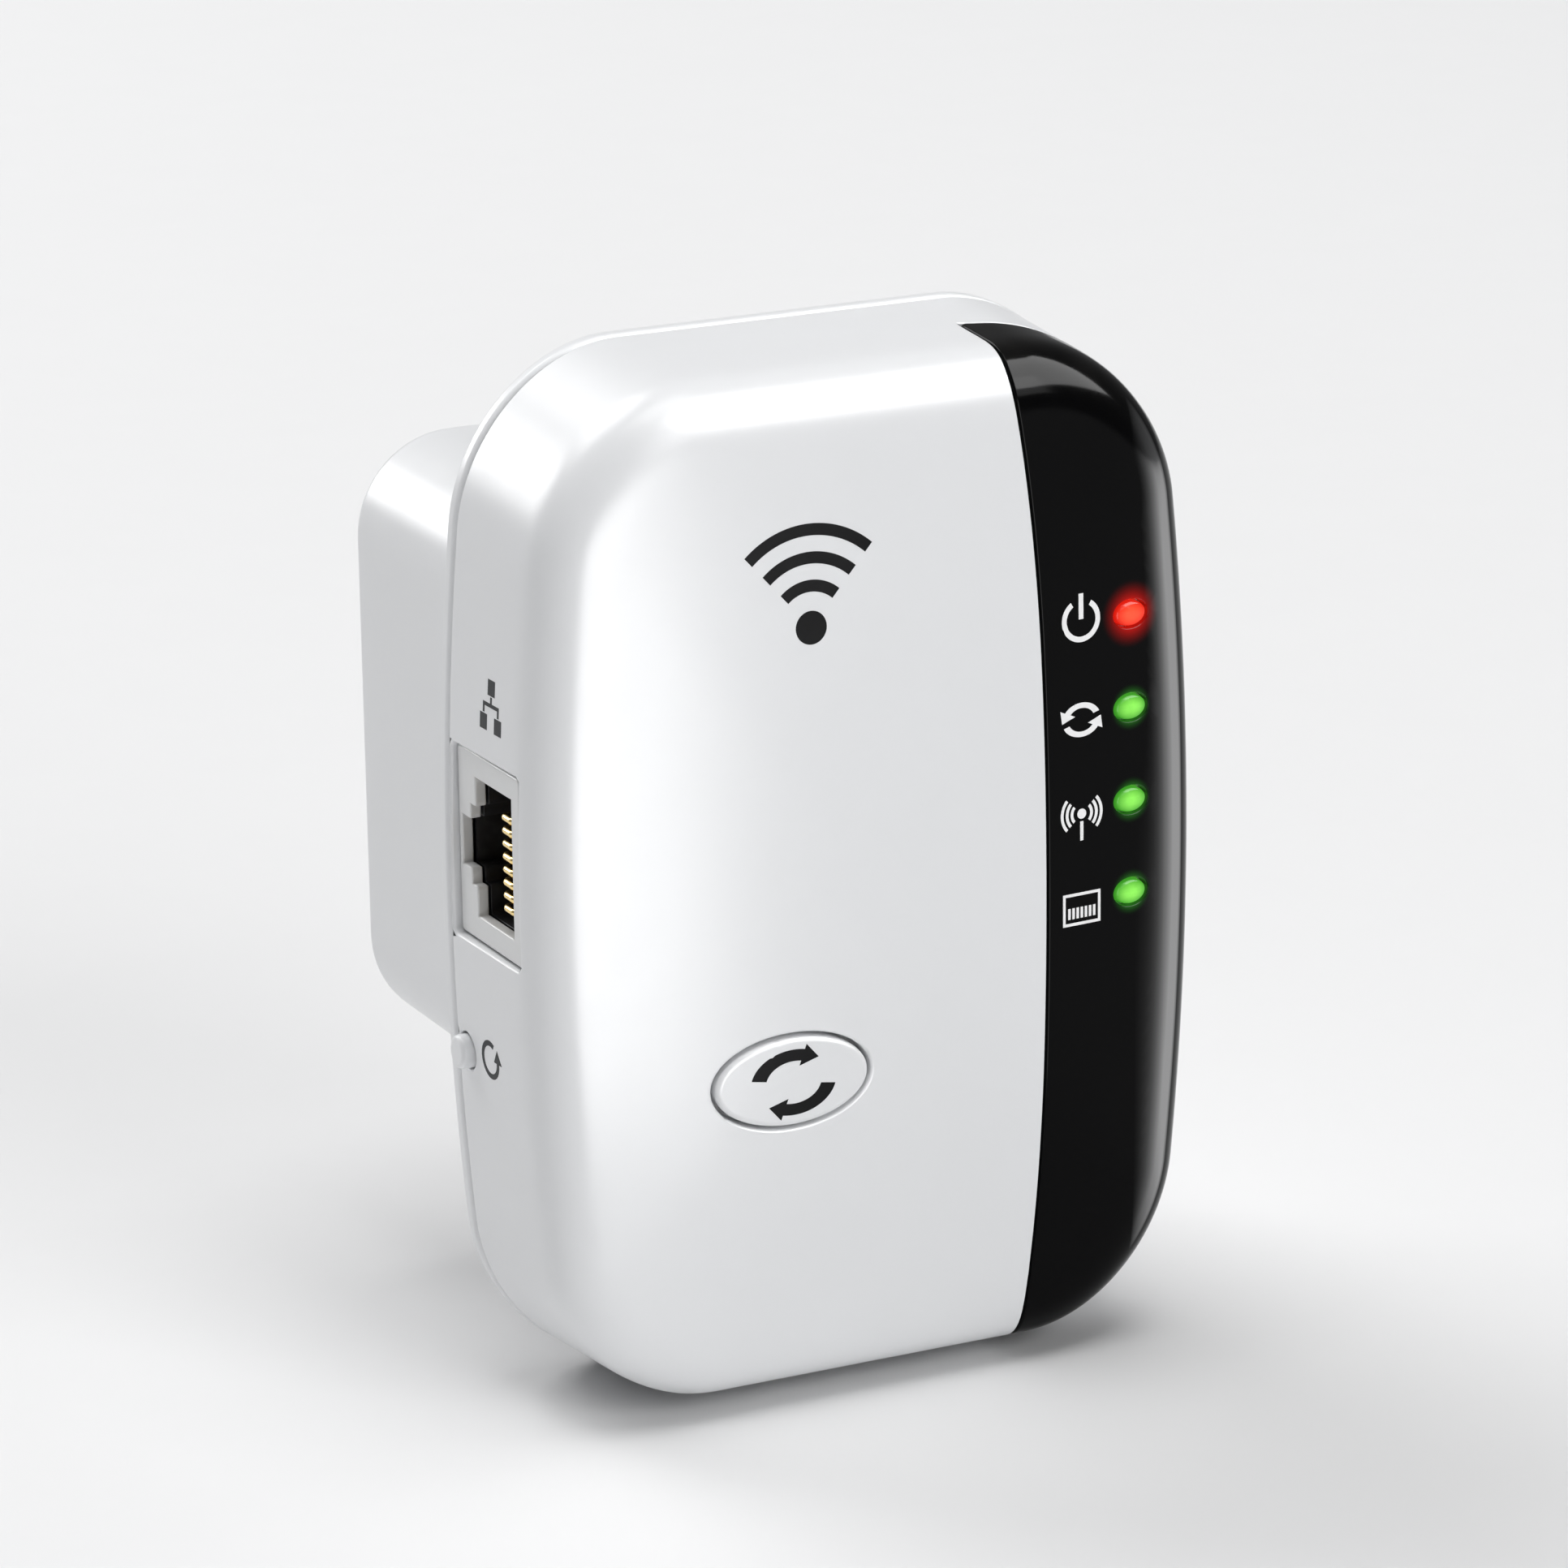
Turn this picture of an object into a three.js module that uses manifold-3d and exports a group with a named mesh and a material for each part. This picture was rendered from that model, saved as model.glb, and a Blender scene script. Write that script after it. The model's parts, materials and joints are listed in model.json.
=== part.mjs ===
// Plug-in wireless range extender, in millimetres.
// X is to the right seen from the front, Y is towards the wall, Z is up.
// The origin is the middle of the plug block's wall face.

import * as THREE from 'three';
import { mergeVertices } from 'three/addons/utils/BufferGeometryUtils.js';
import Module from 'manifold-3d';

const wasm = await Module();
wasm.setup();

// ---------- Driving dimensions ----------

// Clearances.
const slip = 0.2; // around a part that sits in a recess or a hole
const seat = 0.3; // between a part and the face that it is held against
const solderGap = 0.1; // under a part that is soldered to a board

// Body, measured at the crease where the side turns into the front.
const bodyWidth = 61.2;
const bodyHeight = 86.5;
const bodyDrop = 4; // body centre below the plug block's centre
const cornerRadius = 14.4;
const sideBow = 3.1; // the long sides come in by this much at top and bottom
const draftX = 0.3; // growth of the half width towards the wall
const draftZ = 1.0; // growth of the half height towards the wall
const frontFillet = 4.5;
const frontDome = 1.5;
const wall = 2.2;
const rearLip = 1.6; // edge of the rear cover that shows
const partingGap = 0.15;

// Plug block and blades, two flat pins at the usual 12.7 mm spacing.
const blockWidth = 52;
const blockHeight = 53;
const blockDepth = 29;
const blockRadius = 8.7;
const blockWall = 2;
const blockFaceWall = 2.6;
const blockEdge = 1.5;
const ventCount = 7; // slots in the rear cover below the block
const ventPitch = 3.6;
const ventWidth = 1.4;
const ventLength = 7;
const bladeSpacing = 12.7;
const bladeWidth = 6.35;
const bladeThickness = 1.5;
const bladeLength = 17;
const bladeRoot = 8; // length inside the wall face
const bladeHole = 3.2;
const bladeHoleFromTip = 5;

// Network jack.
const jackHeight = 12.4; // across Y
const jackWidth = 16; // across Z
const jackDepth = 14; // along X
const jackRecess = 0.4; // face behind the side wall
const jackWall = 0.8;
const jackFace = 1;
const portWidth = 11.8;
const portHeight = 7.2;
const latchSteps = [{ half: 3.4, rise: 1.1 }, { half: 2.1, rise: 1.8 }];
const contactCount = 8;
const contactPitch = 1.1;
const contactWidth = 0.5;
const contactThickness = 0.3;

// Status panel and its lights.
const panelThickness = 1;
const panelGap = 0.2; // seam width
const seamFromEdge = 15.5; // seam to the body's right edge, at its widest
const seamCurve = { centre: -2, square: 1.75, fourth: 1.1 };
const seamLean = 0.19; // the seam leans outwards towards the wall
const panelBack = 4.9; // panel tip behind the crease
const panelSlant = 0.3; // rear edge comes forward towards the right
const lightCount = 4;
const lightPitch = 8;
const lightTop = 20; // first light above the body's centre
const lightFromEdge = 7.5;
const lensWidth = 3;
const lensHeight = 2.1;
const lensProud = 0.25;
const chipSize = { x: 1.6, y: 0.6, z: 0.8 };

// Pairing button on the front.
const buttonWidth = 14.4; // opening in the cover
const buttonHeight = 8.3;
const buttonGap = 0.35;
const buttonX = -8.95;
const buttonDrop = 15.2; // below the body's centre
const buttonProud = 0.25;
const buttonCap = 1.2;
const buttonFlange = 1; // how far the flange reaches behind the cover
const flangeThickness = 0.5;
const buttonTravel = 0.4;
const switchSize = { x: 4.2, y: 1.05, z: 3.2 };

// Reset button on the left side.
const resetDiameter = 2.9;
const resetProud = 1;
const resetDrop = 14.2; // below the body's centre
const resetBehindParting = 2; // axis in front of the parting line
const resetTravel = 0.5;
const resetFlange = { x: 0.8, y: 2.6, z: 4.8 };
const resetSwitch = { x: 4, z: 6 };

// Circuit boards.
const mainBoard = 1.2;
const powerBoard = 1.6;
const boardMargin = 2.4; // board edge to the inside of the side wall
const boardToPost = 1.65; // board edge to the screw posts
const boardCorner = 3;
const boardSpacing = 7; // between the two boards

// Fasteners.
const screwShank = 2.2;
const screwHead = 4.4;
const screwHeadHeight = 1.3;
const screwSink = 0.6;
const housingScrewLength = 10;
const boardScrewLength = 2.9;
const postDiameter = 5.6;
const postInset = 9.8; // post centre to the body's edges
const pilotClearance = 0.1;
const standoffDiameter = 5;

// Curve steps of the faces that show, and of those inside.
const fine = { corner: 12, side: 8, fillet: 5, dome: 5 };
const coarse = { corner: 6, side: 4, fillet: 3, dome: 3 };
const roundSteps = 16;
const ovalSteps = 24;

// ---------- Derived places ----------

const centreZ = -bodyDrop;
const backY = -blockDepth;
const partingY = backY - rearLip;
const jackRearY = partingY - 0.9;
const jackFrontY = jackRearY - jackHeight;
const creaseY = jackFrontY - 0.1;
const frontEdgeY = creaseY - frontFillet;
const mainBackY = jackFrontY - slip;
const mainFrontY = mainBackY - mainBoard;
const powerFrontY = mainBackY + boardSpacing;
const powerBackY = powerFrontY + powerBoard;
const halfWidth = bodyWidth / 2;
const halfHeight = bodyHeight / 2;
const boardHalfWidth = halfWidth - wall - boardMargin;
const boardHeight = bodyHeight - 2 * (postInset + postDiameter / 2 + boardToPost);
const insideX = blockWidth / 2 - blockWall; // half width inside the plug block
const insideZ = blockHeight / 2 - blockWall;
const boardTopZ = centreZ + boardHeight / 2;
const boardBottomZ = centreZ - boardHeight / 2;
const lightX = halfWidth - lightFromEdge;
const buttonZ = centreZ - buttonDrop;
const resetY = partingY - resetBehindParting;
const resetZ = centreZ - resetDrop;
const overcut = 2; // cutters reach this far past what they cut

// ---------- Solids, cuts and joins ----------

function solidOf(geometry) {
  const plain = geometry.clone();
  plain.deleteAttribute('normal');
  plain.deleteAttribute('uv');
  const merged = mergeVertices(plain);
  return new wasm.Manifold(new wasm.Mesh({
    numProp: 3,
    vertProperties: new Float32Array(merged.attributes.position.array),
    triVerts: new Uint32Array(merged.index.array),
  }));
}

function geometryOf(solid) {
  const mesh = solid.getMesh();
  const geometry = new THREE.BufferGeometry();
  geometry.setAttribute('position', new THREE.BufferAttribute(mesh.vertProperties, 3));
  geometry.setIndex(new THREE.BufferAttribute(mesh.triVerts, 1));
  geometry.computeVertexNormals();
  return geometry;
}

const join = (first, ...others) => others.reduce((sum, one) => sum.add(one), first);
const cut = (first, ...others) => others.reduce((rest, one) => rest.subtract(one), first);

// Box between two corners.
function box(low, high) {
  const size = high.map((value, axis) => value - low[axis]);
  const centre = high.map((value, axis) => (value + low[axis]) / 2);
  return new THREE.BoxGeometry(...size).translate(...centre);
}

// Round bar along Y from y0 to y1.
function barY(diameter, x, z, y0, y1, steps = roundSteps) {
  const bar = new THREE.CylinderGeometry(diameter / 2, diameter / 2, y1 - y0, steps);
  return bar.translate(x, (y0 + y1) / 2, z);
}

// Round bar along X from x0 to x1.
function barX(diameter, y, z, x0, x1, steps = roundSteps) {
  const bar = new THREE.CylinderGeometry(diameter / 2, diameter / 2, x1 - x0, steps);
  return bar.rotateZ(Math.PI / 2).translate((x0 + x1) / 2, y, z);
}

// Flat shape drawn in X and Z, with thickness from y0 to y1.
function slabY(shape, y0, y1) {
  const slab = new THREE.ExtrudeGeometry(shape, {
    depth: y1 - y0, bevelEnabled: false, curveSegments: ovalSteps / 2,
  });
  return slab.rotateX(Math.PI / 2).translate(0, y1, 0);
}

// Flat shape drawn in Y and Z, with thickness from x0 to x1.
function slabX(shape, x0, x1) {
  const slab = new THREE.ExtrudeGeometry(shape, { depth: x1 - x0, bevelEnabled: false });
  const turn = new THREE.Matrix4().makeBasis(
    new THREE.Vector3(0, 1, 0), new THREE.Vector3(0, 0, 1), new THREE.Vector3(1, 0, 0),
  );
  return slab.applyMatrix4(turn).translate(x0, 0, 0);
}

// Flat shape drawn in X and Y, with thickness from z0 to z1.
function slabZ(shape, z0, z1) {
  const slab = new THREE.ExtrudeGeometry(shape, { depth: z1 - z0, bevelEnabled: false });
  return slab.translate(0, 0, z0);
}

const polygon = (points) => new THREE.Shape(points.map(([u, v]) => new THREE.Vector2(u, v)));

function ovalShape(x, z, width, height) {
  const shape = new THREE.Shape();
  shape.absellipse(x, z, width / 2, height / 2, 0, 2 * Math.PI);
  return shape;
}

// Closed skin over rings of equal point count, given from the wall side to the front.
function loft(rings) {
  const count = rings[0].length;
  const middle = (ring) => ring
    .reduce((sum, point) => sum.add(point), new THREE.Vector3())
    .divideScalar(count);
  const points = [...rings.flat(), middle(rings[0]), middle(rings.at(-1))];
  const backCentre = points.length - 2;
  const frontCentre = points.length - 1;
  const faces = [];
  for (let side = 0; side < count; side += 1) {
    const next = (side + 1) % count;
    faces.push(backCentre, next, side);
    for (let ring = 0; ring < rings.length - 1; ring += 1) {
      const here = ring * count;
      const ahead = here + count;
      faces.push(here + side, here + next, ahead + side);
      faces.push(here + next, ahead + next, ahead + side);
    }
    const last = (rings.length - 1) * count;
    faces.push(last + side, last + next, frontCentre);
  }
  const geometry = new THREE.BufferGeometry().setFromPoints(points);
  geometry.setIndex(faces);
  geometry.computeVertexNormals();
  return geometry;
}

// Rounded rectangle in X and Z, anticlockwise from the front, as [x, z] pairs.
function roundedOutline(halfX, halfZ, radius, cornerSteps, edgeSteps = 1) {
  const outline = [];
  const corners = [[1, 1], [-1, 1], [-1, -1], [1, -1]];
  corners.forEach(([signX, signZ], corner) => {
    for (let step = 0; step <= cornerSteps; step += 1) {
      const angle = (Math.PI / 2) * (corner + step / cornerSteps);
      outline.push([
        signX * (halfX - radius) + radius * Math.cos(angle),
        signZ * (halfZ - radius) + radius * Math.sin(angle),
      ]);
    }
    const [endX, endZ] = outline.at(-1);
    const alongSide = corner % 2 === 1;
    const target = alongSide ? [endX, -endZ] : [-endX, endZ];
    const steps = alongSide ? edgeSteps : Math.ceil(edgeSteps / 2);
    for (let step = 1; step < steps; step += 1) {
      const share = step / steps;
      outline.push([endX + (target[0] - endX) * share, endZ + (target[1] - endZ) * share]);
    }
  });
  return outline;
}

// Half width of the body's outside at height z and depth y.
function sideAt(z, y) {
  const share = (y - creaseY) / (backY - creaseY);
  return halfWidth + draftX * share - sideBow * ((z - centreZ) / halfHeight) ** 2;
}

// One ring of the body, set in from the outside and scaled about the centre.
function bodyRing(detail, inset, y, draftShare, scale = 1) {
  const halfX = halfWidth + draftX * draftShare - inset;
  const halfZ = halfHeight + draftZ * draftShare - inset;
  const radius = Math.max(cornerRadius - inset, 1);
  return roundedOutline(halfX, halfZ, radius, detail.corner, detail.side).map(([x, z]) => {
    const bowed = x - sideBow * (x / halfX) * (z / halfHeight) ** 2;
    return new THREE.Vector3(bowed * scale, y, centreZ + z * scale);
  });
}

// Whole body shape set in by a wall: straight side, front fillet and shallow dome.
function bodySolid(inset, rearY) {
  const detail = inset > 0 ? coarse : fine;
  const fillet = frontFillet - inset;
  const rearShare = (rearY - creaseY) / (backY - creaseY);
  const rings = [
    bodyRing(detail, inset, rearY, rearShare), bodyRing(detail, inset, creaseY, 0),
  ];
  for (let step = 1; step <= detail.fillet; step += 1) {
    const angle = (Math.PI / 2) * (step / detail.fillet);
    const drawn = inset + fillet * (1 - Math.cos(angle));
    rings.push(bodyRing(detail, drawn, creaseY - fillet * Math.sin(angle), 0));
  }
  for (let step = 1; step < detail.dome; step += 1) {
    const scale = 1 - step / detail.dome;
    const y = creaseY - fillet - frontDome * (1 - scale * scale);
    rings.push(bodyRing(detail, inset + fillet, y, 0, scale));
  }
  return solidOf(loft(rings));
}

// Depth of the body's front surface at x and z, on the shallow dome.
function frontAt(x, z, inset = 0) {
  const bow = sideBow * ((z - centreZ) / halfHeight) ** 2;
  const acrossX = Math.abs(x) / (halfWidth - frontFillet - bow);
  const acrossZ = Math.abs(z - centreZ) / (halfHeight - frontFillet);
  const scale = Math.min(Math.max(acrossX, acrossZ), 1);
  return frontEdgeY + inset - frontDome * (1 - scale * scale);
}

// ---------- Materials ----------

const finish = (color, roughness, metalness = 0) => (
  new THREE.MeshStandardMaterial({ color, roughness, metalness })
);
const finishes = {
  shell: () => finish(0xf0f1f2, 0.22),
  panel: () => finish(0x08090a, 0.08),
  frame: () => finish(0xc9ccce, 0.4),
  black: () => finish(0x141414, 0.45),
  gold: () => finish(0xd8b25a, 0.25, 1),
  metal: () => finish(0xc4c6c8, 0.3, 1),
  board: () => finish(0x1f5a34, 0.5),
  ferrite: () => finish(0x2b2b2d, 0.7),
  tape: () => finish(0xd9b92c, 0.5),
  sleeve: () => finish(0x1c2b4a, 0.4),
  resistor: () => finish(0x7fa38f, 0.5),
  lead: () => finish(0x9a2620, 0.5),
  label: () => finish(0xe2e4e6, 0.6),
  red: () => finish(0xff2418, 0.15),
  green: () => finish(0x3fd148, 0.15),
};

const extender = new THREE.Group();

function addPart(name, geometry, material) {
  const shape = geometry instanceof wasm.Manifold ? geometryOf(geometry) : geometry;
  const mesh = new THREE.Mesh(shape, material());
  mesh.name = name;
  extender.add(mesh);
}

// ---------- Places shared by several parts ----------

const postX = sideAt(centreZ + halfHeight - postInset, creaseY) - postInset + sideBow / 2;
const postPlaces = [[1, 1], [-1, 1], [1, -1], [-1, -1]].map(([signX, signZ]) => (
  [signX * postX, centreZ + signZ * (halfHeight - postInset)]
));
const boardScrewPlaces = [
  [4.5 - boardHalfWidth, boardTopZ - 4.5],
  [boardHalfWidth - 5.5, boardBottomZ + 4.5],
];
const tabHalf = blockWidth / 2 - blockRadius - 2; // tabs that hold the block in the rear cover
const tabReach = 2;
const standoffX = tabHalf + seat + standoffDiameter / 2;
const standoffZ = -blockHeight / 2 - seat - standoffDiameter / 2;
const standoffPlaces = [[-standoffX, standoffZ], [standoffX, standoffZ]];
const jackFaceX = -sideAt(0, creaseY) + jackRecess;
const jackEndX = jackFaceX + jackDepth;
const jackHalf = jackWidth / 2;
const portFrontY = jackFrontY + 1.7;
const portRearY = portFrontY + portHeight;
const lightPlaces = Array.from({ length: lightCount }, (_, index) => (
  centreZ + lightTop - lightPitch * index
));

// Region of the status panel, grown by a gap at its seam and at its rear edge.
function panelRegion(grow) {
  const reach = halfHeight + overcut;
  const seam = [];
  for (let step = 0; step <= ovalSteps; step += 1) {
    const z = -reach + (2 * reach * step) / ovalSteps;
    const share = (z - seamCurve.centre) / halfHeight;
    const inwards = seamCurve.square * share ** 2 + seamCurve.fourth * share ** 4;
    seam.push([halfWidth - seamFromEdge - inwards - grow, centreZ + z]);
  }
  const edge = halfWidth + overcut;
  const outline = [...seam, [edge, centreZ + reach], [edge, centreZ - reach]].reverse();
  const lean = new THREE.Matrix4().makeShear(0, 0, seamLean, 0, 0, 0);
  const prism = slabY(polygon(outline), -frontDome - frontFillet, frontFillet + panelBack);
  prism.applyMatrix4(lean).translate(0, frontEdgeY, 0);
  const tipX = halfWidth - seamFromEdge;
  const tipY = creaseY + panelBack + grow;
  const front = frontEdgeY - frontDome - overcut;
  const far = edge + overcut;
  const slant = polygon([
    [-edge, front], [far, front], [far, tipY - panelSlant * (far - tipX)],
    [-edge, tipY + panelSlant * (edge + tipX)],
  ]);
  return solidOf(prism).intersect(solidOf(slabZ(slant, centreZ - reach, centreZ + reach)));
}

// ---------- Housing ----------

const outside = bodySolid(0, partingY - partingGap);

function frontCover() {
  let cover = cut(outside, bodySolid(wall, backY + overcut));
  const postTop = partingY - wall - seat;
  const inner = bodySolid(wall / 2, backY);
  postPlaces.forEach(([x, z]) => {
    const post = solidOf(barY(postDiameter, x, z, frontEdgeY - frontDome, postTop));
    cover = cover.add(post.intersect(inner));
  });
  boardScrewPlaces.forEach(([x, z]) => {
    const boss = solidOf(barY(4, x, z, frontEdgeY - frontDome, mainFrontY - solderGap));
    cover = cover.add(boss.intersect(inner));
  });
  const recessFloor = bodySolid(panelThickness + seat, backY + overcut);
  cover = cut(cover, cut(panelRegion(panelGap / 2), recessFloor));
  postPlaces.forEach(([x, z]) => {
    const bottom = partingY - housingScrewLength - overcut;
    const pilot = barY(screwShank + 2 * pilotClearance, x, z, bottom, backY);
    cover = cover.subtract(solidOf(pilot));
  });
  boardScrewPlaces.forEach(([x, z]) => {
    const bottom = mainBackY - boardScrewLength - seat;
    const pilot = barY(screwShank + 2 * pilotClearance, x, z, bottom, mainBackY);
    cover = cover.subtract(solidOf(pilot));
  });
  const frontMost = frontEdgeY - frontDome - overcut;
  const buttonHole = ovalShape(buttonX, buttonZ, buttonWidth, buttonHeight);
  cover = cover.subtract(solidOf(slabY(buttonHole, frontMost, mainFrontY)));
  lightPlaces.forEach((z) => {
    const hole = ovalShape(lightX, z, lensWidth + 2 * slip, lensHeight + 2 * slip);
    cover = cover.subtract(solidOf(slabY(hole, frontMost, mainFrontY)));
  });
  const outer = -halfWidth - draftX - overcut;
  const inside = outer + wall + draftX + 2 * overcut;
  const window = box(
    [outer, jackFrontY - slip, -jackHalf - slip],
    [inside, jackRearY + slip, jackHalf + slip],
  );
  const resetHole = barX(resetDiameter + 2 * slip, resetY, resetZ, outer, inside, ovalSteps);
  return cut(cover, solidOf(window), solidOf(resetHole));
}

// Ring of the rounded plug block outline, set in from the outside.
function blockRing(inset, y) {
  const radius = Math.max(blockRadius - inset, 1);
  const steps = inset < blockWall ? fine.corner : coarse.corner;
  return roundedOutline(blockWidth / 2 - inset, blockHeight / 2 - inset, radius, steps)
    .map(([x, z]) => new THREE.Vector3(x, y, z));
}

function rearCover() {
  const edge = 0.5; // rounded rear edge
  const plate = solidOf(loft([
    bodyRing(fine, edge, backY, 1), bodyRing(fine, edge * 0.3, backY - edge * 0.3, 1),
    bodyRing(fine, 0, backY - edge, 1), bodyRing(fine, 0, partingY, 0.9),
  ]));
  const lipInset = wall + slip;
  const lipFront = partingY - 2.4;
  const lipHollow = lipInset + 1.2;
  const lip = cut(
    solidOf(loft([
      bodyRing(coarse, lipInset, partingY + 0.5, 0.9), bodyRing(coarse, lipInset, lipFront, 0.8),
    ])),
    solidOf(loft([
      bodyRing(coarse, lipHollow, backY, 0.9), bodyRing(coarse, lipHollow, lipFront - 1, 0.8),
    ])),
  );
  const lipGaps = [
    box([-halfWidth, lipFront - 1, -jackHalf - 1], [0, partingY, jackHalf + 1]),
    box([-halfWidth, lipFront - 1, resetZ - 3.5], [0, partingY, resetZ + 3.5]),
  ];
  let cover = join(plate, cut(lip, ...lipGaps.map(solidOf)));
  postPlaces.forEach(([x, z]) => {
    cover = cover.add(solidOf(barY(postDiameter + 1.4, x, z, partingY - wall, partingY + 0.5)));
  });
  standoffPlaces.forEach(([x, z]) => {
    const standoff = barY(standoffDiameter, x, z, powerBackY + solderGap, partingY + 0.5);
    cover = cover.add(solidOf(standoff));
  });
  postPlaces.forEach(([x, z]) => {
    const headSeat = backY - screwSink - screwHeadHeight;
    const bore = barY(screwHead + 2 * slip, x, z, headSeat, backY + overcut);
    const hole = barY(screwShank + 2 * slip, x, z, partingY - 2 * wall, backY);
    cover = cut(cover, solidOf(bore), solidOf(hole));
  });
  standoffPlaces.forEach(([x, z]) => {
    const bottom = powerBackY - overcut;
    const pilot = barY(screwShank + 2 * pilotClearance, x, z, bottom, partingY);
    cover = cover.subtract(solidOf(pilot));
  });
  const opening = loft([blockRing(-slip, backY + overcut), blockRing(-slip, partingY - overcut)]);
  cover = cover.subtract(solidOf(opening));
  const ventTop = -blockHeight / 2 - 4.5;
  for (let index = 0; index < ventCount; index += 1) {
    const x = (index - (ventCount - 1) / 2) * ventPitch;
    const outline = roundedOutline(ventWidth / 2, ventLength / 2, ventWidth / 2 - 0.01, 3)
      .map(([u, v]) => [x + u, ventTop - ventLength / 2 + v]);
    cover = cover.subtract(solidOf(slabY(polygon(outline), partingY - overcut, backY + overcut)));
  }
  return cover;
}

function plugBlock() {
  const rings = [];
  const edgeSteps = 3;
  for (let step = 0; step <= edgeSteps; step += 1) {
    const angle = (Math.PI / 2) * (step / edgeSteps);
    rings.push(blockRing(blockEdge * (1 - Math.sin(angle)), blockEdge * (Math.cos(angle) - 1)));
  }
  rings.push(blockRing(0, partingY));
  let block = cut(
    solidOf(loft(rings)),
    solidOf(loft([blockRing(blockWall, -blockFaceWall), blockRing(blockWall, partingY - overcut)])),
  );
  const tabBack = partingY - seat;
  [-1, 1].forEach((side) => {
    const root = side * (blockHeight / 2 - blockWall);
    const tip = side * (blockHeight / 2 + tabReach);
    const [low, high] = [Math.min(root, tip), Math.max(root, tip)];
    const tab = box([-tabHalf, tabBack - 1.2, low], [tabHalf, tabBack, high]);
    const neckEnd = side * blockHeight / 2;
    const [neckLow, neckHigh] = [Math.min(root, neckEnd), Math.max(root, neckEnd)];
    const neck = box([-tabHalf, tabBack - 0.6, neckLow], [tabHalf, partingY + 1, neckHigh]);
    block = join(block, solidOf(tab), solidOf(neck));
  });
  [-1, 1].forEach((side) => {
    const x = side * bladeSpacing / 2;
    const halfX = bladeThickness / 2 + slip;
    const halfZ = bladeWidth / 2 + slip;
    const slot = box([x - halfX, -blockFaceWall - overcut, -halfZ], [x + halfX, overcut, halfZ]);
    block = block.subtract(solidOf(slot));
  });
  return block;
}

// Flat blade with a rounded, chamfered tip, a hole, and a wider root inside the block.
function blade(side) {
  const x = (side * bladeSpacing) / 2;
  const half = bladeWidth / 2;
  const chamfer = 1.4;
  const shoulder = -blockFaceWall - seat;
  const rootHalf = half + 1.2;
  const profile = polygon([
    [-bladeRoot, -half], [-bladeRoot, half], [shoulder - 1.6, half], [shoulder - 1.6, rootHalf],
    [shoulder, rootHalf], [shoulder, half], [bladeLength - chamfer, half],
    [bladeLength, half - chamfer], [bladeLength, chamfer - half], [bladeLength - chamfer, -half],
    [shoulder, -half], [shoulder, -rootHalf], [shoulder - 1.6, -rootHalf], [shoulder - 1.6, -half],
  ].reverse());
  const hole = new THREE.Path();
  hole.absarc(bladeLength - bladeHoleFromTip, 0, bladeHole / 2, 0, 2 * Math.PI);
  profile.holes.push(hole);
  return slabX(profile, x - bladeThickness / 2, x + bladeThickness / 2);
}

function statusPanel() {
  let panel = cut(outside, bodySolid(panelThickness, backY)).intersect(panelRegion(-panelGap / 2));
  lightPlaces.forEach((z) => {
    const hole = ovalShape(lightX, z, lensWidth + 2 * slip, lensHeight + 2 * slip);
    const cutter = slabY(hole, frontEdgeY - frontDome - overcut, mainFrontY);
    panel = panel.subtract(solidOf(cutter));
  });
  return panel;
}

addPart('front_cover', frontCover(), finishes.shell);
addPart('rear_cover', rearCover(), finishes.shell);
addPart('status_panel', statusPanel(), finishes.panel);
addPart('plug_block', plugBlock(), finishes.shell);
addPart('blade_left', blade(-1), finishes.metal);
addPart('blade_right', blade(1), finishes.metal);

// ---------- Buttons and their switches ----------

const switchTopY = mainFrontY - solderGap - switchSize.y;
const plungerTopY = switchTopY - buttonTravel - solderGap;

// Oval cap with a flange behind the cover and a post that presses the switch.
function pairingButton() {
  const capShape = ovalShape(
    buttonX, buttonZ, buttonWidth - 2 * buttonGap, buttonHeight - 2 * buttonGap,
  );
  const hollowShape = ovalShape(
    buttonX, buttonZ, buttonWidth - 2 * buttonGap - 2.4, buttonHeight - 2 * buttonGap - 2.4,
  );
  const flangeShape = ovalShape(
    buttonX, buttonZ, buttonWidth + 2 * buttonFlange, buttonHeight + 2 * buttonFlange,
  );
  const flangeEdgeZ = buttonZ - buttonHeight / 2 - buttonFlange;
  const flangeBackY = frontAt(buttonX, flangeEdgeZ, wall + slip) + flangeThickness;
  const frontMost = frontEdgeY - frontDome - overcut;
  const capTop = bodySolid(-buttonProud, backY);
  const hollowTop = bodySolid(buttonCap - buttonProud, backY);
  const cap = solidOf(slabY(capShape, frontMost, flangeBackY)).intersect(capTop);
  const flange = solidOf(slabY(flangeShape, frontMost, flangeBackY))
    .intersect(bodySolid(wall + slip, backY));
  const hollow = solidOf(slabY(hollowShape, frontMost, flangeBackY + 1)).intersect(hollowTop);
  const post = solidOf(barY(2, buttonX, buttonZ, frontMost, plungerTopY - solderGap));
  return join(cut(join(cap, flange), hollow), post.intersect(capTop));
}

function pairingSwitchBody() {
  const halfX = switchSize.x / 2;
  const halfZ = switchSize.z / 2;
  const shell = box(
    [buttonX - halfX, switchTopY, buttonZ - halfZ],
    [buttonX + halfX, mainFrontY - solderGap, buttonZ + halfZ],
  );
  const pocket = barY(2.1, buttonX, buttonZ, switchTopY - overcut, mainFrontY - solderGap - 0.2);
  return cut(solidOf(shell), solidOf(pocket));
}

const pocketBottom = mainFrontY - solderGap - 0.2;
const pairingPlunger = barY(1.8, buttonX, buttonZ, plungerTopY, pocketBottom - buttonTravel - 0.05);

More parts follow.
